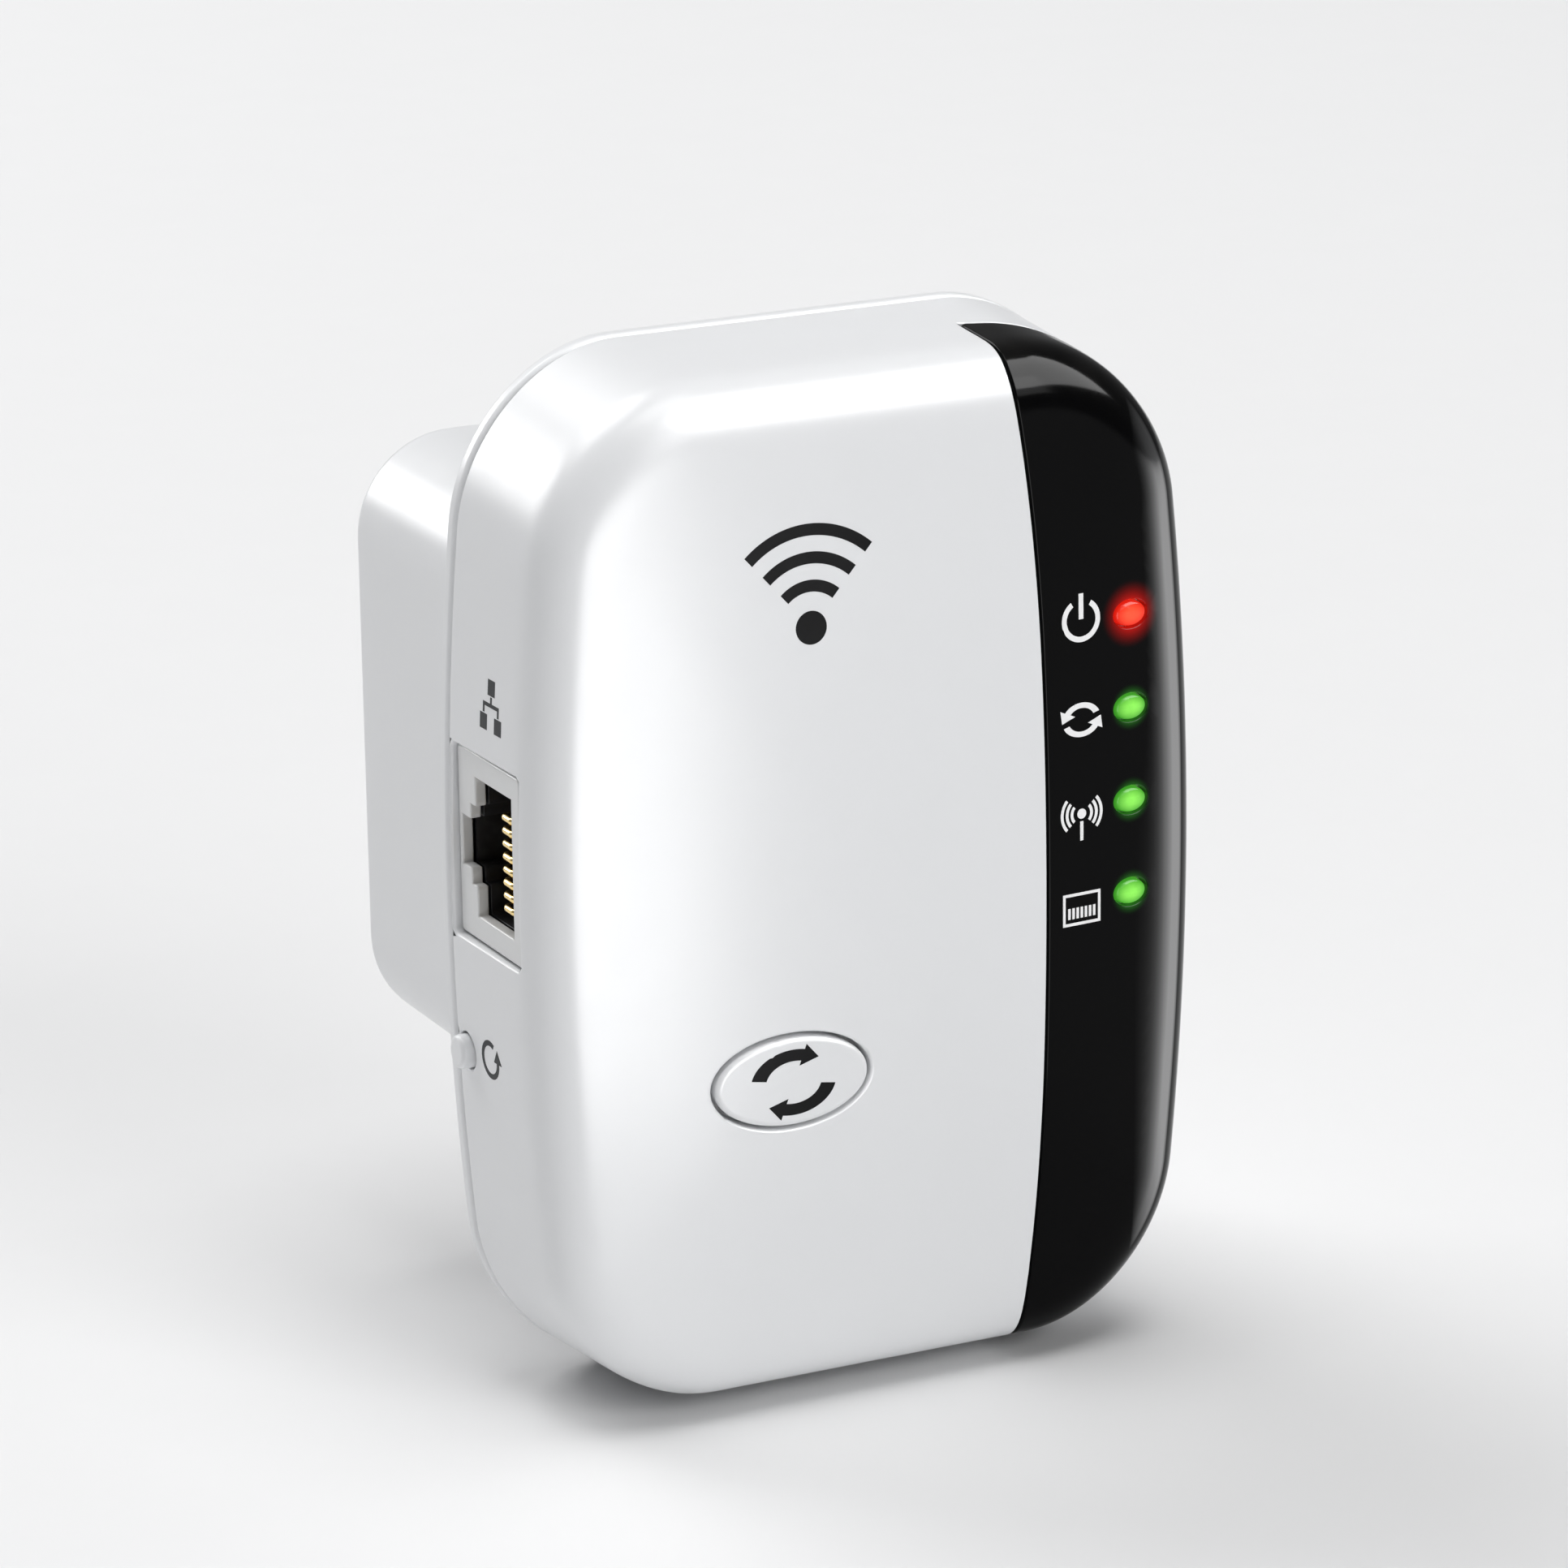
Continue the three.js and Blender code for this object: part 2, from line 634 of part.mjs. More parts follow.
const resetWallX = -sideAt(resetZ, resetY);
const resetFlangeX = resetWallX + wall + slip;
const resetSwitchX = resetFlangeX + resetFlange.x + resetTravel + 0.9;
const resetPlungerX = resetSwitchX - resetTravel - solderGap;

// Round cap on the side with a flange inside the wall.
function resetButton() {
  const capEnd = resetFlangeX + 0.1;
  const cap = barX(resetDiameter, resetY, resetZ, resetWallX - resetProud, capEnd, ovalSteps);
  const flange = box(
    [resetFlangeX, resetY - resetFlange.y / 2, resetZ - resetFlange.z / 2],
    [resetFlangeX + resetFlange.x, resetY + resetFlange.y / 2, resetZ + resetFlange.z / 2],
  );
  const stem = barX(
    1.8, resetY, resetZ, resetFlangeX + resetFlange.x - 0.1, resetPlungerX - solderGap,
  );
  return join(solidOf(cap), solidOf(flange), solidOf(stem));
}

function resetSwitchBody() {
  const backFace = resetY + 1.1;
  const shell = box(
    [resetSwitchX, powerBackY + solderGap, resetZ - resetSwitch.z / 2],
    [resetSwitchX + resetSwitch.x, backFace, resetZ + resetSwitch.z / 2],
  );
  const pocket = barX(1.5, resetY, resetZ, resetSwitchX - overcut, resetSwitchX + 1.6);
  return cut(solidOf(shell), solidOf(pocket));
}

addPart('pairing_button', pairingButton(), finishes.shell);
addPart('pairing_switch_body', pairingSwitchBody(), finishes.black);
addPart('pairing_switch_plunger', pairingPlunger, finishes.frame);
addPart('reset_button', resetButton(), finishes.shell);
addPart('reset_switch_body', resetSwitchBody(), finishes.black);
addPart(
  'reset_switch_plunger', barX(1.3, resetY, resetZ, resetPlungerX, resetSwitchX + 1), finishes.frame,
);

// ---------- Network jack ----------

// Stepped plug opening in Y and Z: the port, then the two steps of the latch channel.
function portShape(grow) {
  const half = portWidth / 2 + grow;
  const front = portFrontY - grow;
  const side = [[front, half], [portRearY + grow, half]];
  let rise = portRearY + grow;
  latchSteps.forEach((step) => {
    side.push([rise, step.half + grow]);
    rise += step.rise;
    side.push([rise, step.half + grow]);
  });
  const mirrored = side.map(([y, z]) => [y, -z]).reverse();
  return polygon([...side, ...mirrored].reverse());
}

function jackBody() {
  const shell = box([jackFaceX, jackFrontY, -jackHalf], [jackEndX, jackRearY, jackHalf]);
  const inner = box(
    [jackFaceX + jackFace, jackFrontY + jackWall, jackWall - jackHalf],
    [jackEndX + overcut, jackRearY - jackWall / 2, jackHalf - jackWall],
  );
  const tailGap = box(
    [jackEndX - 1.2, jackFrontY - overcut, jackWall - jackHalf],
    [jackEndX + overcut, jackFrontY + jackWall + 0.1, jackHalf - jackWall],
  );
  const port = slabX(portShape(0), jackFaceX - overcut, jackFaceX + jackFace + overcut);
  return cut(solidOf(shell), solidOf(inner), solidOf(tailGap), solidOf(port));
}

const insertX = jackFaceX + jackFace + slip;
const insertEndX = jackEndX - 1.4;
const insertBack = 1.2;

// Dark liner that carries the contacts, with a slot in its rear wall for their tails.
function jackInsert() {
  const shell = box(
    [insertX, jackFrontY + jackWall + slip, jackWall + slip - jackHalf],
    [insertEndX, jackRearY - jackWall / 2 - slip, jackHalf - jackWall - slip],
  );
  const channel = slabX(portShape(0.02), insertX - overcut, insertEndX - insertBack);
  const slotHalf = ((contactCount - 1) * contactPitch + contactWidth) / 2 + slip;
  const slot = box(
    [insertEndX - 2 * insertBack, portFrontY, -slotHalf],
    [insertEndX + overcut, portFrontY + contactThickness + 2 * slip, slotHalf],
  );
  return cut(solidOf(shell), solidOf(channel), solidOf(slot));
}

// Spring contact: tail to the board, leg along the floor, then the sloping tongue.
function contactShape() {
  const floor = portFrontY + slip;
  const top = floor + contactThickness;
  const mouth = insertX + 0.5;
  const tailX = insertEndX + 0.3;
  const tailEnd = tailX + contactThickness;
  const tongueX = mouth + 8.5;
  const tongueRise = 1.9;
  return polygon([
    [mouth, floor], [tailX, floor], [tailX, mainBackY + solderGap],
    [tailEnd, mainBackY + solderGap], [tailEnd, top], [mouth + 1.4, top],
    [tongueX, top + tongueRise - contactThickness], [tongueX, top + tongueRise],
    [mouth, top + 0.25],
  ]);
}

addPart('lan_jack_body', jackBody(), finishes.frame);
addPart('lan_jack_insert', jackInsert(), finishes.black);
for (let index = 0; index < contactCount; index += 1) {
  const z = (index - (contactCount - 1) / 2) * contactPitch;
  const strip = slabZ(contactShape(), z - contactWidth / 2, z + contactWidth / 2);
  addPart(`lan_contact_${index + 1}`, strip, finishes.gold);
}

// ---------- Status lights ----------

// Oval light pipe whose front follows the panel and stands a little proud.
function lens(z) {
  const shape = ovalShape(lightX, z, lensWidth, lensHeight);
  const rear = mainFrontY - solderGap - chipSize.y - seat;
  const bar = solidOf(slabY(shape, frontEdgeY - frontDome - overcut, rear));
  return bar.intersect(bodySolid(-lensProud, backY));
}

lightPlaces.forEach((z, index) => {
  const material = index === 0 ? finishes.red : finishes.green;
  addPart(`led_lens_${index + 1}`, lens(z), material);
  const chip = box(
    [lightX - chipSize.x / 2, mainFrontY - solderGap - chipSize.y, z - chipSize.z / 2],
    [lightX + chipSize.x / 2, mainFrontY - solderGap, z + chipSize.z / 2],
  );
  addPart(`led_chip_${index + 1}`, chip, finishes.label);
});

// ---------- Circuit boards and what is soldered to them ----------

function boardSlab(y0, y1) {
  const points = roundedOutline(boardHalfWidth, boardHeight / 2, boardCorner, coarse.corner)
    .map(([x, z]) => [x, centreZ + z]);
  return solidOf(slabY(polygon(points), y0, y1));
}

const boardHole = (x, z, y0, y1) => solidOf(barY(screwShank + 2 * slip, x, z, y0 - 1, y1 + 1));

function mainBoardPlate() {
  const holes = boardScrewPlaces.map(([x, z]) => boardHole(x, z, mainFrontY, mainBackY));
  return cut(boardSlab(mainFrontY, mainBackY), ...holes);
}

// The power board has a notch for the jack, which passes through its plane.
function powerBoardPlate() {
  const holes = standoffPlaces.map(([x, z]) => boardHole(x, z, powerFrontY, powerBackY));
  const notch = box(
    [-halfWidth, powerFrontY - 1, -jackHalf - 0.8], [jackEndX + 0.8, powerBackY + 1, jackHalf + 0.8],
  );
  return cut(boardSlab(powerFrontY, powerBackY), ...holes, solidOf(notch));
}

// Box that stands on the wall side of a board.
function onBoard(boardY, x, z, width, height, rise) {
  return box(
    [x - width / 2, boardY + solderGap, z - height / 2],
    [x + width / 2, boardY + solderGap + rise, z + height / 2],
  );
}

// Flat antenna: a foot on the board and a folded arm above its top edge.
function antenna(side) {
  const strip = 1.8;
  const [inner, outer] = [4, 15.5];
  const foot = boardTopZ - 4;
  const arm = boardTopZ + 7;
  const outline = [
    [inner, foot], [inner + strip, foot], [inner + strip, arm - strip], [outer - strip, arm - strip],
    [outer - strip, boardTopZ + 1], [outer, boardTopZ + 1], [outer, arm], [inner, arm],
  ].map(([x, z]) => [side * x, z]);
  const plate = polygon(side > 0 ? outline : outline.reverse());
  return slabY(plate, mainBackY + solderGap, mainBackY + solderGap + 0.4);
}

addPart('main_board', mainBoardPlate(), finishes.board);
addPart('power_board', powerBoardPlate(), finishes.board);
addPart('radio_shield', onBoard(mainBackY, 6, 4, 18, 18, 2.2), finishes.metal);
addPart('flash_chip', onBoard(mainBackY, 6, -14, 5.2, 6, 1.6), finishes.black);
addPart('lan_transformer', onBoard(mainBackY, jackEndX + 5.5, 0, 7, 12.7, 4), finishes.black);
addPart('crystal', onBoard(mainBackY, -6, 14, 3.2, 2.5, 0.8), finishes.metal);
addPart('antenna_left', antenna(-1), finishes.gold);
addPart('antenna_right', antenna(1), finishes.gold);

const connector = box(
  [8, mainBackY + solderGap, boardBottomZ + 9], [18, powerFrontY - solderGap, boardBottomZ + 11.5],
);
addPart('board_connector', connector, finishes.black);

// Ferrite core with two windows, and the winding round its middle leg.
const core = { x: 6, z: 1, width: 16, height: 7, rise: 15, leg: 3 };
const coreLow = powerBackY + solderGap;
const coreHigh = coreLow + core.rise;

function transformerCore() {
  const half = core.width / 2;
  const frame = box(
    [core.x - half, coreLow, core.z - core.height / 2],
    [core.x + half, coreHigh, core.z + core.height / 2],
  );
  const windows = [-1, 1].map((side) => {
    const near = core.x + side * core.leg / 2;
    const far = core.x + side * (half - core.leg);
    return solidOf(box(
      [Math.min(near, far), coreLow + core.leg, core.z - core.height],
      [Math.max(near, far), coreHigh - core.leg, core.z + core.height],
    ));
  });
  return cut(solidOf(frame), ...windows);
}

function transformerWinding() {
  const outerHalf = core.width / 2 - core.leg - slip;
  const innerHalf = core.leg / 2 + slip;
  const reach = core.height / 2 + 3;
  const [low, high] = [coreLow + core.leg + slip, coreHigh - core.leg - slip];
  const block = box(
    [core.x - outerHalf, low, core.z - reach], [core.x + outerHalf, high, core.z + reach],
  );
  const hole = box(
    [core.x - innerHalf, low - 1, core.z - core.height / 2 - slip],
    [core.x + innerHalf, high + 1, core.z + core.height / 2 + slip],
  );
  return cut(solidOf(block), solidOf(hole));
}

// Can standing on the power board, with a rolled neck near its foot.
function capacitor(diameter, rise, x, z) {
  const radius = diameter / 2;
  const neck = radius - 0.3;
  const profile = [
    [0, 0], [radius - 0.4, 0], [radius, 0.5], [radius, 1.2], [neck, 1.7], [radius, 2.2],
    [radius, rise - 0.6], [radius - 0.6, rise], [0, rise],
  ].map(([u, v]) => new THREE.Vector2(u, v));
  return new THREE.LatheGeometry(profile, roundSteps).translate(x, powerBackY + solderGap, z);
}

// Small body along X with a leg at each end, bent down to the board.
function fuseResistor(x, z) {
  const axisY = powerBackY + 2.8;
  const body = solidOf(barX(3.2, axisY, z, x - 4.5, x + 4.5));
  const legs = [-1, 1].map((side) => {
    const far = x + side * 6;
    const near = x + side * 4;
    const [low, high] = [Math.min(near, far), Math.max(near, far)];
    const across = solidOf(box([low, axisY - 0.3, z - 0.3], [high, axisY + 0.3, z + 0.3]));
    const down = box(
      [far - 0.3, powerBackY + solderGap, z - 0.3], [far + 0.3, axisY + 0.3, z + 0.3],
    );
    return across.add(solidOf(down));
  });
  return join(body, ...legs);
}

addPart('transformer_core', transformerCore(), finishes.ferrite);
addPart('transformer_winding', transformerWinding(), finishes.tape);
addPart('input_capacitor', capacitor(10, 17, 13 - insideX, insideZ - 8.5), finishes.sleeve);
addPart('output_capacitor', capacitor(8, 12, insideX - 10, 9.5 - insideZ), finishes.sleeve);
addPart(
  'bridge_rectifier', onBoard(powerBackY, 1, 9.5 - insideZ, 8, 6.4, 2.6), finishes.black,
);
addPart('fuse_resistor', fuseResistor(10 - insideX, 5 - insideZ), finishes.resistor);

// Insulated lead from a blade's root to the power board.
function bladeLead(side) {
  const startX = (side * bladeSpacing) / 2;
  const endX = side * (insideX - 6);
  const endZ = side * (jackHalf + 3.5);
  const path = new THREE.CatmullRomCurve3([
    new THREE.Vector3(startX, -bladeRoot - seat, 0),
    new THREE.Vector3(startX + side * 0.5, -bladeRoot - 3, side),
    new THREE.Vector3(endX - side * 4.5, -bladeRoot - 9, endZ - side * 1.5),
    new THREE.Vector3(endX - side * 0.3, powerBackY + 8, endZ),
    new THREE.Vector3(endX, powerBackY + solderGap + seat / 2, endZ),
  ]);
  const section = new THREE.Shape();
  section.absarc(0, 0, 0.8, 0, 2 * Math.PI);
  return new THREE.ExtrudeGeometry(section, { steps: 16, curveSegments: 4, extrudePath: path });
}

addPart('blade_lead_left', bladeLead(-1), finishes.lead);
addPart('blade_lead_right', bladeLead(1), finishes.lead);

// ---------- Fasteners and label ----------

// Pan head screw along Y with a cross recess; its head points to the wall.
function screw(x, seatY, z, length) {
  const headRadius = screwHead / 2;
  const profile = [
    [0, -length], [screwShank / 2 - 0.4, -length], [screwShank / 2, 0.6 - length],
    [screwShank / 2, 0], [headRadius, 0], [headRadius, 0.6], [headRadius - 0.7, screwHeadHeight],
    [0, screwHeadHeight],
  ].map(([u, v]) => new THREE.Vector2(u, v));
  const body = new THREE.LatheGeometry(profile, roundSteps - 4);
  const recess = [[1.2, 0.3], [0.3, 1.2]].map(([halfX, halfZ]) => solidOf(box(
    [-halfX, screwHeadHeight - 0.7, -halfZ], [halfX, screwHeadHeight + 1, halfZ],
  )));
  return cut(solidOf(body), ...recess).translate([x, seatY, z]);
}

postPlaces.forEach(([x, z], index) => {
  const headSeat = backY - screwSink - screwHeadHeight + solderGap;
  addPart(`housing_screw_${index + 1}`, screw(x, headSeat, z, housingScrewLength), finishes.metal);
});
boardScrewPlaces.forEach(([x, z], index) => {
  const headSeat = mainBackY + solderGap;
  addPart(`main_board_screw_${index + 1}`, screw(x, headSeat, z, boardScrewLength), finishes.metal);
});

addPart(
  'back_label',
  box([-15, backY + 0.02, blockHeight / 2 + 2.6], [15, backY + 0.2, blockHeight / 2 + 9.6]),
  finishes.label,
);

export default extender;
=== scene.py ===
# Plug-in wireless range extender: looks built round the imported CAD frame.
# X is to the right seen from the front, Y towards the wall, Z up. Shapes are worked out in millimetres.

import json
import math

import bpy
import numpy as np
from mathutils import Matrix, Vector
from mathutils.geometry import delaunay_2d_cdt


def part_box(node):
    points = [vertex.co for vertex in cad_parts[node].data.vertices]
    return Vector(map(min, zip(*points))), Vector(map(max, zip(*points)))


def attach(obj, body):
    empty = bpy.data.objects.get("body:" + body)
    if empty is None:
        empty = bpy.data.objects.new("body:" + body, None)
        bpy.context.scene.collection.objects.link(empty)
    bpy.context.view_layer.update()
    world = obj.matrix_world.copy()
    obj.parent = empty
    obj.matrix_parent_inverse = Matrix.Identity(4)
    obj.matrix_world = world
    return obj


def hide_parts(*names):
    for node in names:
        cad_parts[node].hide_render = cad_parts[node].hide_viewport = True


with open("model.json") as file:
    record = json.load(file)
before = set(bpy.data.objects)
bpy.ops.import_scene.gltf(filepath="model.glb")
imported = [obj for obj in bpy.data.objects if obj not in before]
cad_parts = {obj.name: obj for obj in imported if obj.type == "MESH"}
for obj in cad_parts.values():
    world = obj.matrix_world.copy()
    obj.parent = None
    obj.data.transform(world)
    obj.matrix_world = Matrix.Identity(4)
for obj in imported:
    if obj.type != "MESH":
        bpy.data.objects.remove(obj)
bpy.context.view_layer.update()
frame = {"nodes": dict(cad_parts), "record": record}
mm = 0.001
tau = 2 * math.pi
batch = 1000  # points compared at a time, which keeps the tables small
print("frame loaded:", len(frame["nodes"]), "nodes")


# Low and high corners of a CAD node's box, in millimetres.
def boxOf(name):
    low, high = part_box(name)
    return np.array(low) / mm, np.array(high) / mm


# Middle of a CAD node's box as seen from the front: x and z.
def middleOf(name):
    low, high = boxOf(name)
    return ((low + high) / 2)[[0, 2]]


# Body skin, on rings round the front cover.
body = {
    "halfWidth": 30.6,
    "halfHeight": 43.25,
    "cornerRadius": 14.4,
    "sideBow": 3.1,
    "growX": 0.3,
    "growZ": 1.0,
    "back": -29.0,
    "crease": -44.0,
    "fillet": 4.5,
    "dome": 1.5,
    "softening": 1.1,  # how far the fillet blends into side and front
    "rowStep": 0.25,
    "ringSteps": 768,
}
coverLow, coverHigh = boxOf("front_cover")
centreZ = (coverLow[2] + coverHigh[2]) / 2
coverRear = coverHigh[1]
cornerShare = 0.5  # share of each quarter turn that its corner arc takes


# Rounded rectangle: turn counts quarters, each one corner arc and then one straight edge.
def roundedRing(turn, halfX, halfZ, radius):
    quarter = np.floor(turn).astype(int) % 4
    within = turn - np.floor(turn)
    angle = (quarter + np.minimum(within / cornerShare, 1)) * math.pi / 2
    along = np.maximum(within - cornerShare, 0) / (1 - cornerShare)
    signX = np.array([1, -1, -1, 1, 1])
    signZ = np.array([1, 1, -1, -1, 1])
    shareX = signX[quarter] + (signX[quarter + 1] - signX[quarter]) * along
    shareZ = signZ[quarter] + (signZ[quarter + 1] - signZ[quarter]) * along
    x = shareX * (halfX - radius) + radius * np.cos(angle)
    z = shareZ * (halfZ - radius) + radius * np.sin(angle)
    return x, z


# Vectors divided by their own length.
def unit(vectors):
    length = np.linalg.norm(vectors, axis=-1, keepdims=True)
    return vectors / np.maximum(length, 1e-12)


# Skin grid: side with draft, quarter-circle fillet, then y falls as dome * (1 - scale squared).
# Each column is then softened by a Gaussian along its length.
def bodyGrid():
    side = coverRear - body["crease"]
    arc = body["fillet"] * math.pi / 2
    reach = body["halfWidth"] - body["fillet"]
    rows = int((side + arc + reach) / body["rowStep"]) + 1
    run = np.linspace(0, side + arc + reach, rows)[:, None]
    turn = np.arange(body["ringSteps"])[None, :] * 4 / body["ringSteps"]
    sideY = coverRear - np.clip(run, 0, side)
    bend = np.clip(run - side, 0, arc) / body["fillet"]
    scale = 1 - np.clip(run - side - arc, 0, reach) / reach
    inset = body["fillet"] * (1 - np.cos(bend))
    share = (sideY - body["crease"]) / (body["back"] - body["crease"])
    halfX = body["halfWidth"] + body["growX"] * share - inset
    halfZ = body["halfHeight"] + body["growZ"] * share - inset
    x, z = roundedRing(turn, halfX, halfZ, body["cornerRadius"] - inset)
    x = x - body["sideBow"] * (x / halfX) * (z / halfZ) ** 2
    y = sideY - body["fillet"] * np.sin(bend) - body["dome"] * (1 - scale**2)
    points = np.stack([x * scale, y + 0 * x, centreZ + z * scale], -1)
    fromEnd = np.minimum(run, run[-1] - run)
    blur = body["softening"] * np.clip(fromEnd / (3 * body["softening"]), 0.02, 1)
    weight = np.exp(-(((run - run.T) / blur) ** 2) / 2)
    weight /= weight.sum(1, keepdims=True)
    points = np.tensordot(weight, points, 1)
    across = np.roll(points, -1, 1) - np.roll(points, 1, 1)
    down = np.gradient(points, axis=0)
    normals = unit(np.cross(across, down))
    normals[-3:] = (0, -1, 0)  # the last rows close in on one point
    front = int((side + arc) / body["rowStep"])
    flat = points[..., [0, 2]].copy()
    ring = flat[front]
    outward = unit(np.roll(ring, -1, 0) - np.roll(ring, 1, 0))[:, [1, 0]] * (1, -1)
    skirt = (run[front] - run[:front])[..., None]
    flat[:front] = ring + outward * skirt
    return points, normals, flat, front


skinPoints, skinNormals, skinFlat, frontRow = bodyGrid()
skinRows, skinTurns = skinPoints.shape[:2]


# Bilinear reading of a skin grid at fractional rows and turns, where turns wrap round.
def readGrid(grid, row, turn):
    row = np.clip(row, 0, skinRows - 1.0001)
    column = turn * skinTurns / 4
    r0 = np.floor(row).astype(int)
    c0 = np.floor(column).astype(int)
    fr = (row - r0)[..., None]
    fc = (column - c0)[..., None]
    a, b = grid[r0, c0 % skinTurns], grid[r0, (c0 + 1) % skinTurns]
    c, d = grid[r0 + 1, c0 % skinTurns], grid[r0 + 1, (c0 + 1) % skinTurns]
    return (a * (1 - fc) + b * fc) * (1 - fr) + (c * (1 - fc) + d * fc) * fr


# Nearest grid node first, then Newton steps, to find the row and turn of points laid out flat.
def locate(flat):
    rowStep, turnStep = 4, 8  # of the grid nodes that are compared
    coarse = skinFlat[:-2:rowStep, ::turnStep]
    table = coarse.reshape(-1, 2)
    best = np.concatenate([
        np.argmin(((part[:, None] - table) ** 2).sum(-1), 1)
        for part in np.array_split(flat, len(flat) // batch + 1)
    ])
    row = (best // coarse.shape[1]) * float(rowStep)
    turn = (best % coarse.shape[1]) * turnStep * 4 / skinTurns
    step = 0.01
    for _ in range(8):
        here = readGrid(skinFlat, row, turn)
        dRow = (readGrid(skinFlat, row + step, turn) - here) / step
        dTurn = (readGrid(skinFlat, row, turn + step) - here) / step
        miss = flat - here
        det = dRow[:, 0] * dTurn[:, 1] - dRow[:, 1] * dTurn[:, 0]
        det = np.where(np.abs(det) < 1e-9, 1e-9, det)
        row = row + np.clip((miss[:, 0] * dTurn[:, 1] - miss[:, 1] * dTurn[:, 0]) / det, -8, 8)
        turn = turn + np.clip((dRow[:, 0] * miss[:, 1] - dRow[:, 1] * miss[:, 0]) / det, -0.2, 0.2)
        row = np.clip(row, 0, skinRows - 3)
    return row, turn


# Place and outward direction on the skin, raised along that direction.
def onSkin(raised=0.0):
    def chart(flat):
        row, turn = locate(flat)
        normals = unit(readGrid(skinNormals, row, turn))
        return readGrid(skinPoints, row, turn) + raised * normals, normals
    return chart


# Plane through origin with axes a and b; its outward direction is a cross b.
def onPlane(origin, a, b):
    origin, a, b = (np.array(v, float) for v in (origin, a, b))
    normal = np.cross(a, b)

    def chart(flat):
        points = origin + flat[:, :1] * a + flat[:, 1:] * b
        return points, np.broadcast_to(normal, points.shape).copy()
    return chart


# Axes of flat charts: one faces the wall, the other faces left.
facingWall = {"a": (-1, 0, 0), "b": (0, 0, 1)}
facingLeft = {"a": (0, -1, 0), "b": (0, 0, 1)}


# Oval about a centre: half width times cosine, half height times sine.
def oval(u, v, width, height, steps=64):
    angle = np.arange(steps) * tau / steps
    return np.stack([u + width / 2 * np.cos(angle), v + height / 2 * np.sin(angle)], -1)


# Rectangle with round corners, resampled at even spacing.
def roundedBox(u, v, width, height, radius, spacing=1.0):
    turn = np.linspace(0, 4, 129)[:-1]
    x, z = roundedRing(turn, width / 2, height / 2, radius)
    return evenly(np.stack([u + x, v + z], -1), spacing)


# Closed outline resampled at even spacing along its length.
def evenly(points, spacing, closed=True):
    loop = np.concatenate([points, points[:1]]) if closed else points
    length = np.concatenate([[0], np.cumsum(np.linalg.norm(np.diff(loop, axis=0), axis=1))])
    count = max(int(round(length[-1] / spacing)), 8)
    at = np.linspace(0, length[-1], count + 1)
    at = at[:-1] if closed else at
    return np.stack([np.interp(at, length, loop[:, k]) for k in range(points.shape[1])], -1)


# Polygon whose straight edges get points in between.
def sampled(corners, spacing=1.0):
    corners = np.array(corners, float)
    parts = []
    for start, end in zip(corners, np.roll(corners, -1, 0)):
        count = max(int(np.linalg.norm(end - start) / spacing), 1)
        share = np.arange(count)[:, None] / count
        parts.append(start + (end - start) * share)
    return np.concatenate(parts)


# Part of a flat ring between two angles, in degrees.
def arcBand(u, v, inner, outer, start, end, steps=24):
    angle = np.radians(np.linspace(start, end, steps))
    spokes = np.stack([np.cos(angle), np.sin(angle)], -1)
    return np.concatenate([spokes * outer, spokes[::-1] * inner]) + (u, v)


# Half the sum of cross products of neighbours: positive for a loop that turns left.
def signedArea(loop):
    following = np.roll(loop, -1, 0)
    return (loop[:, 0] * following[:, 1] - loop[:, 1] * following[:, 0]).sum() / 2


# Odd number of outline crossings on the way out means inside.
def inside(points, loops):
    start = np.concatenate(loops)
    end = np.concatenate([np.roll(loop, -1, 0) for loop in loops])
    rise = np.where(start[:, 1] == end[:, 1], 1e-12, end[:, 1] - start[:, 1])
    result = []
    for part in np.array_split(points, len(points) // batch + 1):
        u, v = part[:, :1], part[:, 1:]
        spans = (start[:, 1] > v) != (end[:, 1] > v)
        cross = start[:, 0] + (v - start[:, 1]) * (end[:, 0] - start[:, 0]) / rise
        result.append((spans & (u < cross)).sum(1) % 2 == 1)
    return np.concatenate(result)


# Distance from points to the nearest outline point.
def clearance(points, loops):
    outline = np.concatenate(loops)
    return np.concatenate([
        np.sqrt(((part[:, None] - outline) ** 2).sum(-1).min(1))
        for part in np.array_split(points, len(points) // batch + 1)
    ])


# Square lattice over the outlines.
def lattice(loops, spacing):
    low = np.min([loop.min(0) for loop in loops], 0)
    high = np.max([loop.max(0) for loop in loops], 0)
    u = np.arange(low[0], high[0], spacing)
    v = np.arange(low[1], high[1], spacing)
    return np.stack(np.meshgrid(u, v), -1).reshape(-1, 2) + spacing / 3


# Lattice on the front, and rows of the grid on the fillet and the side.
def skinLattice(loops, spacing):
    firstRow, sideStep, filletStep, columnStep = 4, 6, 2, 3
    edgeRow = frontRow + sideStep
    grid = lattice(loops, spacing)
    grid = grid[inside(grid, [skinFlat[edgeRow]])]
    bend = int((coverRear - body["crease"]) / body["rowStep"]) - sideStep
    rows = np.concatenate([
        np.arange(firstRow, bend, sideStep), np.arange(bend, edgeRow, filletStep), [edgeRow],
    ])
    return np.concatenate([grid, skinFlat[rows][:, ::columnStep].reshape(-1, 2)])


